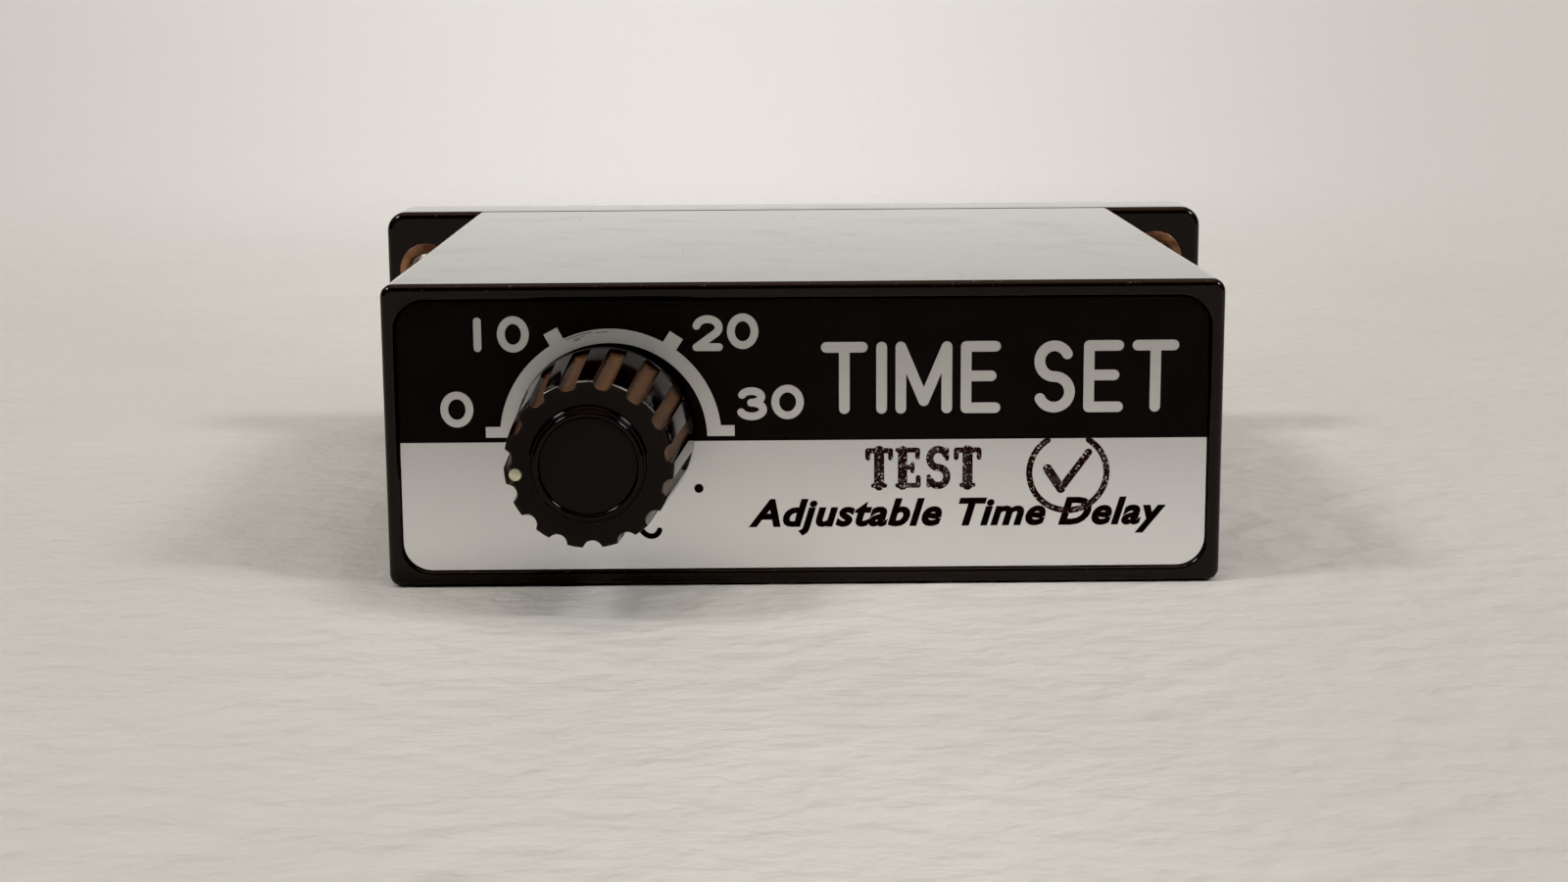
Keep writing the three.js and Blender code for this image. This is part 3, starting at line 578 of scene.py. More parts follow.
FINISH = {
    "phenolic": material("black_phenolic", phenolic),
    "knob": material("knob_phenolic", knob_black),
    "plate": material("satin_aluminium", plate_metal),
    "band": material("band_ink", band_ink),
    "text": material("text_ink", text_ink),
    "stamp": material("stamp_ink", stamp_ink),
    "copper": material("dull_copper", metal((0.42, 0.22, 0.13), (0.15, 0.075, 0.045), 0.42)),
    "steel": material("plated_steel", metal((0.62, 0.62, 0.60), (0.40, 0.38, 0.35), 0.28)),
    "brass": material("turned_brass", metal((0.70, 0.52, 0.25), (0.45, 0.30, 0.14), 0.26)),
    "tinned": material("tinned_blade", metal((0.74, 0.73, 0.70), (0.48, 0.46, 0.43), 0.24)),
    "nickel": material("nickel_can", metal((0.55, 0.55, 0.55), (0.38, 0.37, 0.35), 0.3)),
    "iron": material("soft_iron", metal((0.42, 0.42, 0.42), (0.25, 0.23, 0.21), 0.38)),
    "bronze": material("spring_bronze", metal((0.62, 0.36, 0.18), (0.40, 0.22, 0.12), 0.28)),
    "cream": material("cream_fill", moulded((0.62, 0.57, 0.40), (0.36, 0.38, 0.26), 0.45, 0.3)),
    "laminate": material(
        "brown_laminate", moulded((0.13, 0.060, 0.028), (0.20, 0.10, 0.05), 0.4, 1.2, (0.2, 1, 1))
    ),
    "board": material("circuit_board", moulded((0.34, 0.20, 0.085), (0.42, 0.26, 0.12), 0.42, 1.5)),
    "sleeve": material("blue_sleeve", moulded((0.02, 0.06, 0.20), (0.03, 0.09, 0.27), 0.35)),
    "resistor": material("resistor_body", moulded((0.22, 0.11, 0.055), (0.30, 0.16, 0.08), 0.4)),
    "epoxy": material("black_epoxy", moulded((0.012, 0.012, 0.012), (0.02, 0.02, 0.02), 0.4)),
    "winding": material("coil_winding", winding),
    "red": material("red_insulation", moulded((0.45, 0.03, 0.02), (0.36, 0.02, 0.02), 0.4)),
    "yellow": material("yellow_insulation", moulded((0.60, 0.38, 0.04), (0.50, 0.30, 0.03), 0.4)),
    "grey": material("grey_insulation", moulded((0.22, 0.23, 0.24), (0.17, 0.18, 0.19), 0.4)),
}


# ---- case ----


def centre_of(node):
    """The X and Z of a node's middle."""
    x, _, z = extent(node)
    return middle(x), middle(z)


BASE_SCREWS = [centre_of(f"base_screw_{i + 1}") for i in range(4)]
EYELETS = [centre_of(f"mount_eyelet_{i + 1}") for i in range(4)]
BUSH_HOLE = rod(CASE["bush_hole"], -1, CASE["front"] + 1, *AXIS)


def case_shape():
    """The moulded box: a recess for the nameplate, round outer edges and four screw bosses inside."""
    gap, lip, edge, wall = PLATE["gap"], CASE["lip"], CASE["edge"], CASE["wall"]
    recess_x = (PLATE_X[0] - gap, PLATE_X[1] + gap)
    recess_z = (PLATE_Z[0] - gap, PLATE_Z[1] + gap)
    floor = PLATE_Y[1] + gap
    corner = PLATE["corner"] + gap
    rings = [
        rounded_ring(recess_x, recess_z, corner, floor),
        rounded_ring(recess_x, recess_z, corner, lip),
    ]
    for out, y in arc(lip, lip, lip, 180, 270)[1:]:
        rings.append(rounded_ring(recess_x, recess_z, corner, y, -out))
    for inset, y in arc(edge, edge, edge, 270, 180, 8):
        rings.append(rounded_ring(CASE_X, CASE_Z, CASE["corner"], y, inset))
    end = CASE_Y[1]
    rings.append(rounded_ring(CASE_X, CASE_Z, CASE["corner"], end - 0.2))
    rings.append(rounded_ring(CASE_X, CASE_Z, CASE["corner"], end, 0.2))
    rings.append(rounded_ring(CASE_X, CASE_Z, wall + 1, end, wall))
    rings.append(rounded_ring(CASE_X, CASE_Z, wall + 1, CASE["front"], wall))
    start = end - CASE["boss_length"]
    bosses = [rod(CASE["boss"], start, end, x, z) for x, z in BASE_SCREWS]
    pilots = [rod(CASE["pilot"], start + 3, end + 1, x, z, 24) for x, z in BASE_SCREWS]
    return cut(join(loft(rings), *bosses), BUSH_HOLE, *pilots)


def plate_shape():
    """The nameplate: a flat sheet with round corners and a hole for the shaft's bush."""
    front, back = PLATE_Y
    edge = PLATE["edge"]
    rings = [
        rounded_ring(PLATE_X, PLATE_Z, PLATE["corner"], back),
        rounded_ring(PLATE_X, PLATE_Z, PLATE["corner"], front + edge),
        rounded_ring(PLATE_X, PLATE_Z, PLATE["corner"], front, edge),
    ]
    return cut(loft(rings), BUSH_HOLE)


make("case_body", case_shape(), FINISH["phenolic"], "housing", ["case_shell"])
make("faceplate", plate_shape(), FINISH["plate"], "housing", ["nameplate"])

# ---- print on the nameplate ----

PRINT_Y = PLATE_Y[0]
BAND_LOW = 15.15
DIAL = (-19.79, 15.48)
# Radii of the printed half circle round the dial's middle, and heights of its feet.
ARC = {
    "outer": 11.36, "inner": 9.88, "foot_low": 15.65, "foot_high": 16.77, "tick": 12.66, "tick_width": 1.58,
}
FOOT_ENDS = (-32.6, -7.1)
# The angles of the marks for 10 and 20, in degrees.
TICKS = (118.2, 57.2)
# The scale's numbers, digit by digit, as (digit, left, right, bottom, top).
DIGITS = [
    ("0", -37.18, -33.80, 16.74, 20.47),
    ("1", -33.60, -32.78, 24.53, 28.07),
    ("0", -31.19, -27.94, 24.45, 28.19),
    ("2", -11.30, -8.22, 24.46, 28.14),
    ("0", -7.79, -4.58, 24.64, 28.30),
    ("3", -6.81, -3.76, 17.27, 20.70),
    ("0", -3.32, 0.01, 17.35, 20.93),
]
DIGIT_STROKE = 0.8
TITLE = {"text": "TIME SET", "x": (1.77, 38.36), "z": (17.84, 25.29), "stroke": 1.1, "space": 1.6}
CAPTION = {"text": "Adjustable Time Delay", "x": (-5.77, 37.36), "z": (6.21, 9.01)}
# The letters of SEC. round the dial, as (letter, angle, radius of its foot), and its stop.
SECONDS = (("S", 140, 10.7), ("E", 103, 10.7), ("C", 67, 11.4))
STOP = {"x": -10.84, "z": 10.19, "radius": 0.48}
# Scratches that cross the scale, as (radius, start, end, width); angles in degrees.
SCUFFS = (
    (11.14, 99, 113, 0.07),
    (10.9, 103, 110, 0.05),
    (11.02, 91, 97, 0.06),
    (10.72, 106, 109, 0.09),
)


def dial_scale():
    """The half-circle scale with its two feet and its two ticks."""
    x, z = DIAL
    outer, inner = ARC["outer"], ARC["inner"]
    rise = math.degrees(math.asin((ARC["foot_low"] - z) / inner))
    band = arc(x, z, outer, rise, 180 - rise, 60) + arc(x, z, inner, 180 - rise, rise, 60)
    low, high = ARC["foot_low"], ARC["foot_high"]
    feet = [
        [(FOOT_ENDS[0], low), (x - inner, low), (x - inner, high), (FOOT_ENDS[0], high)],
        [(x + inner, low), (FOOT_ENDS[1], low), (FOOT_ENDS[1], high), (x + inner, high)],
    ]
    ticks = []
    for angle in TICKS:
        along = Vector((math.cos(math.radians(angle)), math.sin(math.radians(angle))))
        side = Vector((-along.y, along.x)) * ARC["tick_width"] / 2
        near, far = along * (inner + 0.5), along * ARC["tick"]
        corners = [near - side, far - side, far + side, near + side]
        ticks.append([(x + p.x, z + p.y) for p in corners])
    return [band, *feet, *ticks]


def plate_outline(low, high, inset=0.05):
    """The nameplate's outline between two heights."""
    ring = rounded_ring(PLATE_X, PLATE_Z, PLATE["corner"], 0, inset)
    return [(x, min(max(z, low), high)) for x, _, z in ring]


def band_print():
    """The black band, with the scale, the numbers and the title left open in it."""
    holes = dial_scale()
    for name, *place in DIGITS:
        holes += letter(name, *place, DIGIT_STROKE)
    holes += word(TITLE["text"], *TITLE["x"], *TITLE["z"], TITLE["stroke"], TITLE["space"])
    holes.append(arc(*AXIS, CASE["bush_hole"], 0, 360, 48)[:-1])
    return printed([plate_outline(BAND_LOW, PLATE_Z[1])], holes, PRINT_Y, PRINT_Y - INK)


def seconds_print():
    """SEC. round the lower half of the dial, with its tops towards the middle, and the scratches."""
    loops = []
    for name, angle, foot in SECONDS:
        a = math.radians(angle)
        spot = (DIAL[0] + foot * math.cos(a), DIAL[1] - foot * math.sin(a))
        right, up = (math.sin(a), math.cos(a)), (-math.cos(a), math.sin(a))
        loops += placed(letter(name, -1.3, 1.3, 0, 3.1, 0.58), spot, right, up)
    loops.append(arc(STOP["x"], STOP["z"], STOP["radius"], 0, 360, 24)[:-1])
    for radius, start, end, width in SCUFFS:
        loops.append(ribbon(arc(*DIAL, radius, start, end, 8), width))
    return printed(loops, [], PRINT_Y, PRINT_Y - INK)


# The stamp's slab letters: thick and thin strokes as (path, width), in a square of height 1.
STAMP_LETTERS = {
    "T": [
        ([(0.5, 0.04), (0.5, 0.93)], 0.22),
        ([(0.04, 0.93), (0.96, 0.93)], 0.10),
        ([(0.03, 0.93), (0.03, 0.74)], 0.09),
        ([(0.97, 0.93), (0.97, 0.74)], 0.09),
        ([(0.26, 0.04), (0.74, 0.04)], 0.08),
    ],
    "E": [
        ([(0.25, 0.04), (0.25, 0.93)], 0.20),
        ([(0.05, 0.94), (0.85, 0.94)], 0.09),
        ([(0.25, 0.5), (0.66, 0.5)], 0.09),
        ([(0.05, 0.04), (0.88, 0.04)], 0.09),
        ([(0.87, 0.94), (0.87, 0.76)], 0.09),
        ([(0.90, 0.04), (0.90, 0.24)], 0.09),
        ([(0.66, 0.6), (0.66, 0.4)], 0.07),
    ],
    "S": [
        (bow(0.5, 0.72, 0.34, 0.23, 30, 270) + bow(0.5, 0.26, 0.36, 0.23, 88, -150), 0.15),
        ([(0.86, 0.94), (0.86, 0.72)], 0.08),
        ([(0.12, 0.04), (0.12, 0.26)], 0.08),
    ],
}
STAMP = {"text": "TEST", "x": (6.47, 18.07), "z": (10.17, 14.28), "letter": 2.5, "spread": 0.035}
ROUND_STAMP = {"x": 27.16, "z": 11.58, "radius": 3.98, "stroke": 0.64, "start": 122}
# The tick in the round stamp, as ends from the stamp's middle, each stroke with its width.
TICK_STROKES = (((-2.1, 0.4), (-0.7, -1.7), 0.95), ((-0.7, -1.7), (2.1, 2.1), 0.75))


def stamp_print():
    """An inspector's word stamp, and a round one with a tick in it."""
    text, (low, high), wide = STAMP["text"], STAMP["z"], STAMP["letter"]
    step = (STAMP["x"][1] - STAMP["x"][0] - wide) / (len(text) - 1)
    loops = []
    for i, name in enumerate(text):
        left = STAMP["x"][0] + i * step
        for path, width in STAMP_LETTERS[name]:
            points = [(left + x * wide, low + z * (high - low)) for x, z in path]
            loops.append(ribbon(points, (width + STAMP["spread"]) * (high - low)))
    x, z, stroke, start = (ROUND_STAMP[key] for key in ("x", "z", "stroke", "start"))
    ring = arc(x, z, ROUND_STAMP["radius"], start, 540 - start, 60)
    loops.append(ribbon(ring[:32], stroke))
    loops.append(ribbon(ring[30:], stroke))
    for (ax, az), (bx, bz), width in TICK_STROKES:
        loops.append(ribbon([(x + ax, z + az), (x + bx, z + bz)], width))
    return printed(loops, [], PRINT_Y, PRINT_Y - 1.5 * INK)


def caption_print(name, text, x0, x1, z0, z1):
    """A line of sloping bold type from x0 to x1, and from its baseline to its capitals' tops."""
    deep = 0.01
    type_curve = bpy.data.curves.new(name, "FONT")
    type_curve.body = text
    type_curve.shear = 0.28
    type_curve.offset = 0.040
    type_curve.space_character = 1.08
    type_curve.extrude = deep
    type_curve.resolution_u = 4
    source = bpy.data.objects.new(name, type_curve)
    SCENE.collection.objects.link(source)
    made = source.evaluated_get(bpy.context.evaluated_depsgraph_get()).to_mesh()
    points = [tuple(v.co) for v in made.vertices]
    faces = [tuple(p.vertices) for p in made.polygons]
    bpy.data.objects.remove(source)
    left, right = min(p[0] for p in points), max(p[0] for p in points)
    top = max(p[1] for p in points)
    wide, tall = (x1 - x0) / (right - left), (z1 - z0) / top
    back = PRINT_Y - INK / 2
    spread = INK / 2 / deep
    return [(x0 + (x - left) * wide, back - z * spread, z0 + y * tall) for x, y, z in points], faces


def print_piece(name, shape, ink):
    """A layer of print on the nameplate."""
    make(name, shape, FINISH[ink], "housing", angle=40)


print_piece("faceplate_band", band_print(), "band")
print_piece("dial_unit", seconds_print(), "text")
caption = caption_print("caption", CAPTION["text"], *CAPTION["x"], *CAPTION["z"])
print_piece("faceplate_caption", caption, "text")
print_piece("inspection_stamps", stamp_print(), "stamp")

# ---- knob ----

BASE_RADIUS = half(KNOB_X)
KNOB_BACK = KNOB_Y[1]
KNOB_TIP = KNOB_Y[0]
KNOB_FACE = KNOB_TIP + KNOB["boss_height"]
PITCH = 360 / KNOB["flutes"]


def around(angle, radius):
    """X and Z offsets; 0 is to the right, and it grows clockwise seen from the front."""
    return radius * math.cos(math.radians(angle)), -radius * math.sin(math.radians(angle))


def forward_share(y):
    """How far forward y is on the knob, from 0 at its back to 1 at its face."""
    return (KNOB_BACK - y) / (KNOB_BACK - KNOB_FACE)


def knob_radius(y):
    """The knob's outer radius, which narrows towards its face."""
    return BASE_RADIUS + (KNOB["front_radius"] - BASE_RADIUS) * forward_share(y)


def leaning(y):
    """How far the knob's skin stands off its axis: the knob sits a little askew on its shaft."""
    share = forward_share(y)
    return KNOB["lean"][0] * share, KNOB["lean"][1] * share


def knob_section(y, radius, fluted, off=(0, 0)):
    """The knob's outline at y: round, or with its flutes where the radius reaches them."""
    full = knob_radius(y)
    flute = KNOB["flute_radius"]
    centre = full + flute - KNOB["flute_depth"]
    rim = radius if fluted else full
    open_angle = math.degrees(math.acos((rim**2 + centre**2 - flute**2) / (2 * rim * centre)))
    channel, land = 12, 6
    points = []
    for k in range(KNOB["flutes"]):
        here = KNOB["pointer"] + (k + 0.5) * PITCH
        for i in range(channel + 1):
            turn = open_angle * math.sin(math.radians(180 * i / channel - 90))
            reach = centre * math.sin(math.radians(turn))
            inner = centre * math.cos(math.radians(turn)) - math.sqrt(max(flute**2 - reach**2, 0))
            points.append((here + turn, min(inner, radius) if fluted else radius))
        for i in range(1, land):
            points.append((here + open_angle + (PITCH - 2 * open_angle) * i / land, radius))
    x, z = AXIS[0] + off[0], AXIS[1] + off[1]
    return [(x + dx, y, z + dz) for dx, dz in (around(a, r) for a, r in points)]


def knob_shape():
    """The knob: a hollow back, a plain ring, flutes, a flat face and a raised round boss."""
    chamfer = KNOB["chamfer"]
    floor = KNOB_BACK - KNOB["cavity_depth"]
    ring_end = KNOB_BACK - KNOB["ring"]

    def bore(radius, y):
        return knob_section(y, radius, False)

    def plain(radius, y):
        return knob_section(y, radius, False, leaning(y))

    def fluted(radius, y):
        return knob_section(y, radius, True, leaning(y))

    rings = [bore(KNOB["hub"], floor - KNOB["hub_depth"]), bore(KNOB["hub"], floor)]
    rings += [bore(KNOB["cavity"], floor), bore(KNOB["cavity"], KNOB_BACK)]
    back_round, ring_round = KNOB["back_round"], KNOB["ring_round"]
    for r, y in arc(BASE_RADIUS - back_round, back_round, back_round, 270, 360, 5):
        rings.append(plain(r, KNOB_BACK - y))
    for r, y in arc(knob_radius(ring_end) - ring_round, -ring_round, ring_round, 0, 60, 4):
        rings.append(plain(r, ring_end - y))
    rings.append(fluted(knob_radius(ring_end), ring_end - 0.05))
    steps = 8
    for i in range(1, steps):
        y = ring_end + (KNOB_FACE + chamfer - ring_end) * i / steps
        rings.append(fluted(knob_radius(y), y))
    for inset, y in arc(chamfer, chamfer, chamfer, 180, 270, 5):
        rings.append(fluted(knob_radius(KNOB_FACE) - inset, KNOB_FACE + y))
    boss, foot, lip = KNOB["boss_radius"], KNOB["boss_foot"], KNOB["boss_lip"]
    rings.append(plain(KNOB["flat"], KNOB_FACE))
    rings += [plain(r, y) for r, y in arc(boss + 0.6, KNOB_FACE - foot, foot, 90, 172, 6)]
    rings += [plain(r, y) for r, y in arc(boss - lip, KNOB_TIP + lip, lip, 0, -180, 10)]
    rings += [plain(boss - 0.8, KNOB_TIP + 0.3), plain(1.0, KNOB_TIP + KNOB["boss_dish"])]
    dot_x, dot_z = centre_of("knob_pointer_dot")
    aside, down = KNOB["lean"]
    deep = KNOB_FACE + KNOB["dot_deep"]
    dot_hole = rod(KNOB["dot_hole"], KNOB_FACE - 1, deep, dot_x + aside, dot_z + down, 32)
    sx, sz = around(KNOB["pointer"] - 90, 1)
    screw_hole = turn_onto(
        rod(KNOB["set_screw"], 4.0, 10.5, 0, 0, 32),
        (sx, 0, sz),
        (AXIS[0], KNOB_FACE + KNOB["set_screw_behind"], AXIS[1]),
    )
    return cut(loft(rings), dot_hole, screw_hole)


def mark_grooves(piece):
    """Stores, from 0 to 1, each point's depth in a flute and its height on the front edge, for painted
    reflection and highlight.
    """
    groove = piece.data.attributes.new("groove", "FLOAT", "POINT")
    edge = piece.data.attributes.new("edge", "FLOAT", "POINT")
    for vertex in piece.data.vertices:
        x, y, z = vertex.co.x / MM, (vertex.co.y - FRONT) / MM, vertex.co.z / MM
        aside, down = leaning(y)
        radius = math.hypot(x - AXIS[0] - aside, z - AXIS[1] - down)
        # Higher up the front edge's rounding the painted highlight grows stronger; the lower half gets
        # none.
        rounded = KNOB_FACE + 0.02 < y < KNOB_FACE + 0.28 and radius > KNOB["front_radius"] - 0.29
        edge.data[vertex.index].value = max(0.0, (z - AXIS[1]) / radius) if rounded else 0.0
        # Depth in a flute sets the strength of the flutes' dirt and painted reflection.
        outside = KNOB_FACE - 0.01 < y < KNOB_BACK - KNOB["ring"] and radius > KNOB["cavity"] + 0.1
        depth = (knob_radius(y) - radius) / KNOB["flute_depth"]
        groove.data[vertex.index].value = min(max(depth, 0.0), 1.0) if outside else 0.0


dial_knob = make(
    "dial_knob", knob_shape(), FINISH["knob"], "knob_and_shaft", ["knob"], 35
)
mark_grooves(dial_knob)


def pointer_shape():
    """The paint in the pointer's hole, with a shallow dished face."""
    x, z = (a + b for a, b in zip(centre_of("knob_pointer_dot"), KNOB["lean"]))
    _, (front, back), _ = extent("knob_pointer_dot")
    radius = half(extent("knob_pointer_dot")[0])
    rim = [(radius, back), (radius, front + 0.1), (radius - 0.08, front)]
    dish = [(radius * 0.6, front + 0.05), (0.1, front + 0.07)]
    return turned(rim + dish, x, z, 32)


make(
    "pointer_dot", pointer_shape(), FINISH["cream"], "knob_and_shaft", ["knob_pointer_dot"]
)

# ---- base flange, eyelets and screws ----


def flange_shape():
    """The base: a thick plate with round edges, a rim that locates it and two arms for the board."""
    edge, corner = FLANGE["edge"], FLANGE["corner"]
    front, back = FLANGE_Y
    rings = []
    for inset, y in arc(edge, edge, edge, 270, 180, 8):
        rings.append(rounded_ring(FLANGE_X, FLANGE_Z, corner, front + y, inset))
    for inset, y in arc(edge, edge, edge, 180, 270, 8):
        rings.append(rounded_ring(FLANGE_X, FLANGE_Z, corner, back - y, inset))
    inset = CASE["wall"] + CLEAR
    rim_x = BASE_SCREWS[1][0] - CASE["boss"] - CLEAR
    wall = FLANGE["wall"]
    rim_start = front - FLANGE["rim"]
    high = CASE_Z[1] - inset
    rim = cut(
        box((-rim_x, rim_start, inset), (rim_x, front + 1, high)),
        box((wall - rim_x, rim_start - 1, inset + wall), (rim_x - wall, front, high - wall)),
    )
    board_x, board_y, board_z = extent("circuit_board")
    hole_in, thick = FLANGE["arm_hole_in"], FLANGE["arm"]
    arm_x, arm_y, arm_start = board_x[1] - hole_in, board_y[1] - hole_in, board_y[1] - FLANGE["arm_reach"]
    arms, arm_holes = [], []
    for x in (-arm_x, arm_x):
        arms.append(box((x - thick, arm_start, inset), (x + thick, rim_start + 1, board_z[0] - CLEAR)))
        upright = rod(FLANGE["arm_hole"], 0, 5, 0, 0, 24)
        arm_holes.append(turn_onto(upright, (0, 0, 1), (x, arm_y, inset + 0.8)))
    carrier_x, carrier_y, carrier_z = extent("contact_carrier")
    cover_x = carrier_x[1] + CLEAR
    core_x = cover_x - CARRIER["lip"]
    seat = carrier_y[1] - CARRIER["cover"] - 0.1
    low, high = carrier_z[0] - CLEAR, carrier_z[1] + CLEAR
    brim = CARRIER["brim"]
    window = box((-core_x, rim_start - 1, low + brim), (core_x, back + 1, high - brim))
    pocket = box((-cover_x, seat, low), (cover_x, back + 1, high))
    holes = [window, pocket, *arm_holes]
    for x, z in BASE_SCREWS:
        holes.append(rod(FLANGE["shank_hole"], front - 1, back + 1, x, z, 24))
        holes.append(rod(FLANGE["screw_hole"], back - FLANGE["screw_seat"], back + 1, x, z))
    eyelet_x, eyelet_y, _ = extent("mount_eyelet_1")
    eyelet_seat = eyelet_y[1] - EYELET["lip"] - 0.1
    for x, z in EYELETS:
        holes.append(rod(EYELET["barrel"] + CLEAR, front - 1, back + 1, x, z))
        holes.append(rod(half(eyelet_x) + CLEAR, eyelet_seat, back + 1, x, z))
    pilot_x = core_x + CARRIER["pilot_out"]
    for x in (-pilot_x, pilot_x):
        holes.append(rod(CARRIER["pilot"], back - CARRIER["pilot_deep"], back + 1, x, MID_Z, 24))
    return cut(join(loft(rings), rim, *arms), *holes)


def eyelet_shape(x, z):
    """A rolled eyelet with a lip at each end."""
    span, (front, back), _ = extent("mount_eyelet_1")
    bore, barrel, lip = EYELET["bore"], EYELET["barrel"], EYELET["lip"]
    roll = (half(span) - bore) / 2
    centre = bore + roll
    front_roll = [(centre + dx * roll, front + lip - dy * lip) for dx, dy in arc(0, 0, 1, 180, 0, 14)]
    back_roll = [(centre + dx * roll, back - lip + dy * lip) for dx, dy in arc(0, 0, 1, 0, 180, 14)]
    profile = front_roll + [(barrel, front + lip), (barrel, back - lip)] + back_roll
    return turned(profile, x, z, 64, closed=True)


def screw_shape(node, shank, head_thick, slot_angle, slot_depth=0.9, pitch=0.7):
    """A slotted cheese-head screw with its head at the back and a rib for each turn of thread."""
    (x0, x1), (tip, top), _ = extent(node)
    x, z = centre_of(node)
    head = (x1 - x0) / 2
    under = top - head_thick
    profile = [(shank * 0.4, tip), (shank * 0.8, tip + 0.6)]
    y = tip + 0.6
    while y + pitch < under - 1:
        profile += [(shank * 0.86, y + pitch * 0.3), (shank, y + pitch * 0.6)]
        y += pitch
    profile += [(shank * 0.9, under - 0.6), (shank * 0.9, under)]
    profile += [(head - 0.1, under), (head, under + 0.1)]
    profile += [(r, y) for r, y in arc(head - 0.45, top - 0.45, 0.45, 0, 80, 5)]
    profile += [(head * 0.5, top - 0.02), (0.2, top)]
    points, faces = box((-0.4, top - slot_depth, -head - 1), (0.4, top + 1, head + 1))
    c, s = math.cos(math.radians(slot_angle)), math.sin(math.radians(slot_angle))
    slot = [(x + c * px - s * pz, py, z + s * px + c * pz) for px, py, pz in points], faces
    return cut(turned(profile, x, z, 40), slot)


# Where each screw's slot came to rest, in degrees.
SLOT_ANGLES = (24, -61, 83, 8, -17, 52)

make("flange_body", flange_shape(), FINISH["phenolic"], "housing", ["base_flange"])
for index, place in enumerate(EYELETS):
    number = index + 1
    eyelet, node = eyelet_shape(*place), f"mount_eyelet_{number}"
    make(f"eyelet_{number}", eyelet, FINISH["copper"], "housing", [node], 60)
    node = f"base_screw_{number}"
    screw = screw_shape(node, 1.5, 2.2, SLOT_ANGLES[index])
    make(f"flange_screw_{number}", screw, FINISH["steel"], "housing", [node])
for number in (1, 2):
    node = f"carrier_screw_{number}"
    screw = screw_shape(node, 1.0, 1.7, SLOT_ANGLES[-number], 0.8, 0.5)
    make(f"contact_block_screw_{number}", screw, FINISH["steel"], "housing", [node])

# ---- CAD nodes that stay, with their edges broken and their own finishes ----

# The nodes that each finish goes on, with the bevel of their edges.
KEPT = {
    "brass": {"knob_hub": 0.15, "pot_bushing": 0.1, "pot_nut": 0.2, "pot_wiper": 0.05},
    "steel": {"knob_set_screw": 0.08, "pot_shaft": 0.25, "pot_washer": 0.08},
    "nickel": {"pot_can": 0.15},
    "laminate": {"pot_track": 0.05, "pot_rotor": 0.12, "relay_base": 0.2, "contact_carrier": 0.15},
    "red": {"pot_wire_1": 0.0},
    "yellow": {"pot_wire_2": 0.0},
    "grey": {"pot_wire_3": 0.0},
    "board": {"circuit_board": 0.1},
    "sleeve": {"timing_capacitor": 0.3, "smoothing_capacitor": 0.3},
    "epoxy": {"flyback_diode": 0.15},
    "iron": {"relay_yoke": 0.2, "relay_armature": 0.15},
    "winding": {"relay_coil": 0.15},
    "bronze": {"relay_contact_spring": 0.05},
    "tinned": {"relay_contact_open": 0.05, "relay_contact_closed": 0.05},
    "resistor": {f"resistor_{i}": 0.25 for i in (1, 2, 3, 4)},
}
KEPT["steel"].update({f"board_screw_{i}": 0.15 for i in (1, 2)})
KEPT["nickel"].update({f"transistor_{i}": 0.2 for i in (1, 2)})
KEPT["tinned"].update({f"pot_lug_{i}": 0.05 for i in (1, 2, 3)})
KEPT["tinned"].update({f"contact_pin_{i}": 0.12 for i in range(1, 9)})


def refinish(node, finish, bevel):
    """A finish and softer edges on a CAD node that keeps its own shape."""
    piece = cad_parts[node]
    piece.data.materials.clear()
    piece.data.materials.append(FINISH[finish])
    weld = piece.modifiers.new("weld", "WELD")
    weld.merge_threshold = 0.002 * MM
    soften(piece, 35, bevel)


for finish, nodes in KEPT.items():
    for node, bevel in nodes.items():
        refinish(node, finish, bevel)

# ---- floor, light and camera ----


def floor_finish(g):
    """Pale matt paper with painted light: a little brighter beyond the object and darker out to the sides,
    like a pool of light.
    """
    spot = g.node("TexCoord", output=3)
    across, away = (g.node("SeparateXYZ", {0: spot}, output=i) for i in (0, 1))
    # Painted light: the paper brightens far beyond the object, and painted shade darkens it out to the
    # sides.
    far = g.ramp(away, 0.05, 0.55)
    spread = g.math("DIVIDE", across, g.math("MAXIMUM", g.math("ADD", away, 0.3), 0.1))
    side = g.ramp(g.math("ABSOLUTE", g.math("ADD", spread, 0.03)), 0.0, 0.36)
    cloudy = g.ramp(g.noise(60, 4), 0.3, 0.7)
    near_tone = g.mix(cloudy, (0.54, 0.53, 0.488), (0.59, 0.578, 0.534))
    near_tone = g.mix(g.math("MULTIPLY", side, 0.7), near_tone, (0.475, 0.465, 0.435))
    far_tone = g.mix(side, (0.735, 0.733, 0.722), (0.53, 0.523, 0.493))
    return {
        "Base Color": g.mix(far, near_tone, far_tone),
        "Roughness": 0.6,
        "IOR": 1.3,
        "Normal": g.bump(g.noise(5, 3, 0.5, stretch=(0.85, 1, 1)), 1.3),
    }


def make_floor():
    """A sheet of paper that reaches the horizon."""
    size, drop = 300.0, 0.00005
    mesh = bpy.data.meshes.new("floor")
    corners = [(x * size, y * size, -drop) for x, y in ((-1, -1), (1, -1), (1, 1), (-1, 1))]
    mesh.from_pydata(corners, [], [(0, 1, 2, 3)])
    mesh.materials.append(material("pale_paper", floor_finish))
    floor = bpy.data.objects.new("floor", mesh)
    SCENE.collection.objects.link(floor)


# Where the room's two small bright windows are, as seen from the object, and how large they look.
WINDOWS = ((-0.61, -0.19, 0.77), (0.663, -0.31, 0.68))
WINDOW_EDGE = (0.992, 0.9955)


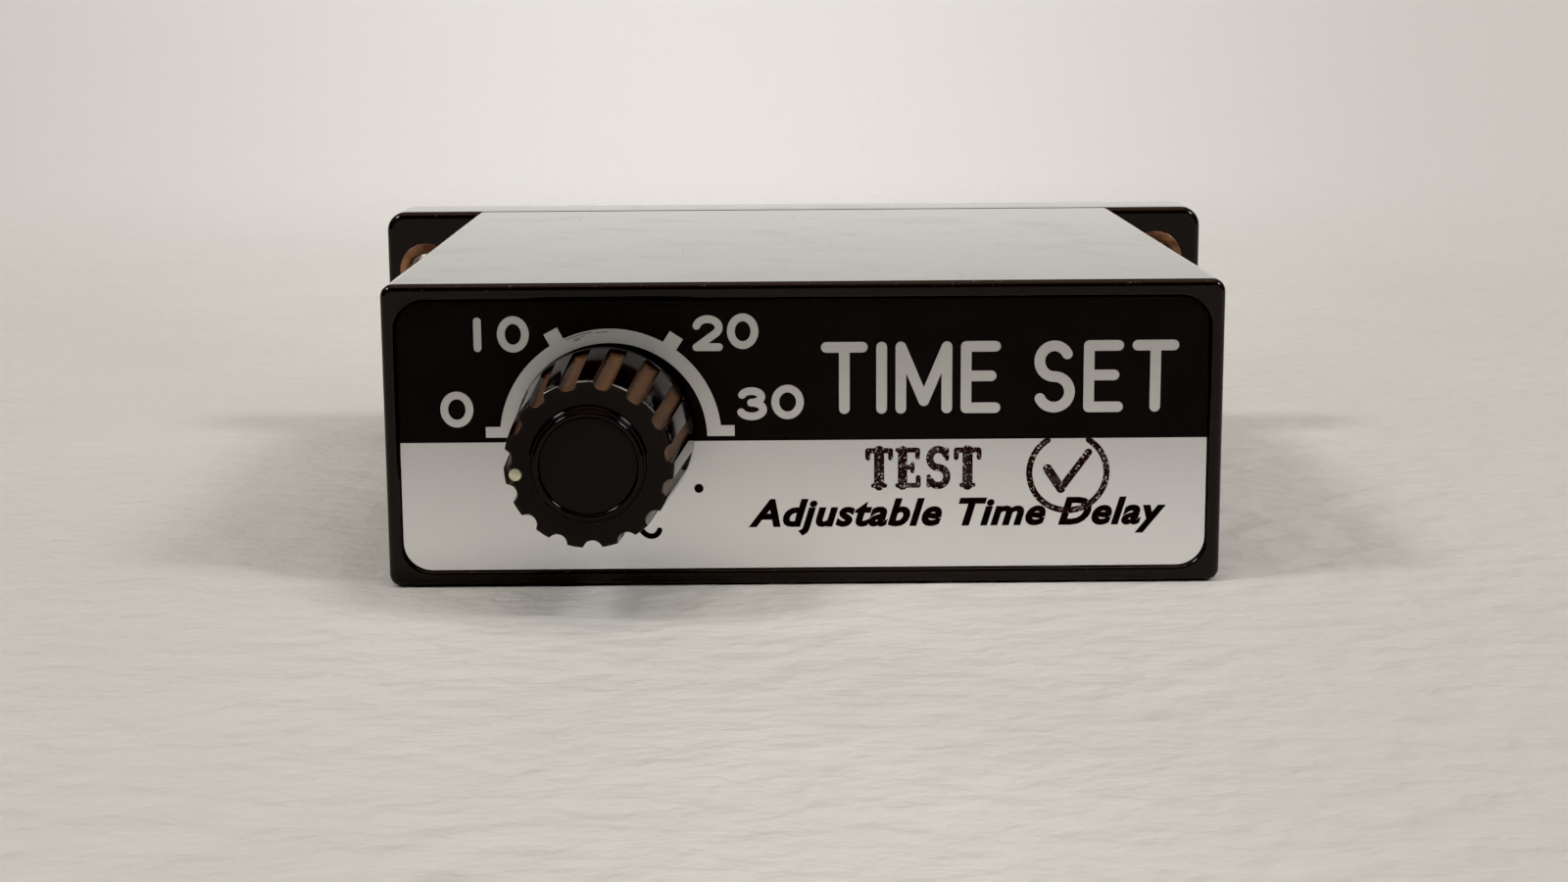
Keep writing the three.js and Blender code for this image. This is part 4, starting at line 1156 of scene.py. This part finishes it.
def make_world():
    """A dim room: a paper wall behind, a warm ceiling, tall side panes and two small windows.

    Its tones follow the direction (x, y, z) that a ray leaves in, with z up and y away."""
    world = bpy.data.worlds.new("room")
    SCENE.world = world
    world.use_nodes = True
    g = Graph(world.node_tree)
    toward = g.node("TexCoord", output=0)
    x, y, z = (g.node("SeparateXYZ", {0: toward}, output=i) for i in range(3))

    def both(*factors):
        total = factors[0]
        for factor in factors[1:]:
            total = g.math("MULTIPLY", total, factor)
        return total

    wall = both(g.ramp(y, 0.2, 0.6), g.ramp(z, 0.32, 0.20))
    ceiling = g.ramp(z, 0.84, 0.95)
    aside = g.math("ABSOLUTE", x)
    panes = both(g.ramp(aside, 0.34, 0.42), g.ramp(z, 0.33, 0.37), g.ramp(z, 0.62, 0.56))
    behind = both(panes, g.ramp(y, 0.25, 0.4))
    ahead = both(panes, g.ramp(y, -0.25, -0.4))
    windows = 0.0
    for window in WINDOWS:
        vectors = {0: toward, 1: Vector(window).normalized()}
        near = g.node("VectorMath", vectors, output=1, operation="DOT_PRODUCT")
        windows = g.math("MAXIMUM", windows, g.ramp(near, *WINDOW_EDGE))
    fill = both(g.ramp(y, -0.3, -0.8), g.ramp(z, 0.40, 0.1))
    fill_tone = g.mix(g.ramp(x, -0.6, 0.6), (0.36, 0.352, 0.34), (0.60, 0.59, 0.57))
    paper = g.mix(g.ramp(z, 0.08, 0.13), (1.12, 1.09, 1.01), (0.99, 0.965, 0.895))
    paper = g.mix(g.ramp(aside, 0.04, 0.24, 0.0, 0.6), paper, (0.97, 0.93, 0.86))
    tone = g.mix(wall, (0.045, 0.040, 0.036), paper)
    tone = g.mix(fill, tone, fill_tone)
    tone = g.mix(ceiling, tone, (0.75, 0.52, 0.36))
    tone = g.mix(behind, tone, (0.85, 0.84, 0.83))
    tone = g.mix(ahead, tone, (0.24, 0.237, 0.234))
    tone = g.mix(windows, tone, (26.0, 26.0, 26.8))
    background = g.node("Background", {"Color": tone, "Strength": 1.0})
    output = world.node_tree.nodes.new("ShaderNodeOutputWorld")
    world.node_tree.links.new(background, output.inputs["Surface"])


def make_lamp(name, source, spread, power, colour):
    """A far, wide and soft light from one side, kept out of what polished surfaces reflect."""
    lamp = bpy.data.lights.new(name, "SUN")
    lamp.angle = math.radians(spread)
    lamp.energy = power
    lamp.color = colour
    holder = bpy.data.objects.new(name, lamp)
    holder.visible_glossy = False
    holder.rotation_euler = Vector(source).to_track_quat("Z", "Y").to_euler()
    SCENE.collection.objects.link(holder)


def make_camera():
    """A camera in front of the object and a little above it."""
    lens = bpy.data.cameras.new("camera")
    lens.lens = CAMERA["lens"]
    lens.sensor_width = CAMERA["sensor"]
    holder = bpy.data.objects.new("camera", lens)
    pitch, yaw, roll = (math.radians(CAMERA[key]) for key in ("pitch", "yaw", "roll"))
    flat = Vector((math.sin(yaw), math.cos(yaw), 0))
    forward = flat * math.cos(pitch) - Vector((0, 0, math.sin(pitch)))
    level = Vector((math.cos(yaw), -math.sin(yaw), 0))
    above = level.cross(forward)
    right = math.cos(roll) * level + math.sin(roll) * above
    up = math.cos(roll) * above - math.sin(roll) * level
    turn = Matrix((right, up, -forward)).transposed().to_4x4()
    holder.matrix_world = Matrix.Translation(at(*CAMERA["place"])) @ turn
    SCENE.collection.objects.link(holder)
    SCENE.camera = holder


make_floor()
make_world()
make_lamp("overhead", (0.25, -0.35, 1.0), 80, 1.50, (1.0, 0.99, 0.985))
make_camera()

# Tones below this level turn fully black, which deepens the shadows a little.
SCENE.view_settings.view_transform = "Standard"
SCENE.view_settings.use_curve_mapping = True
SCENE.view_settings.curve_mapping.black_level = (0.0055, 0.0055, 0.0055)
SCENE.view_settings.curve_mapping.update()
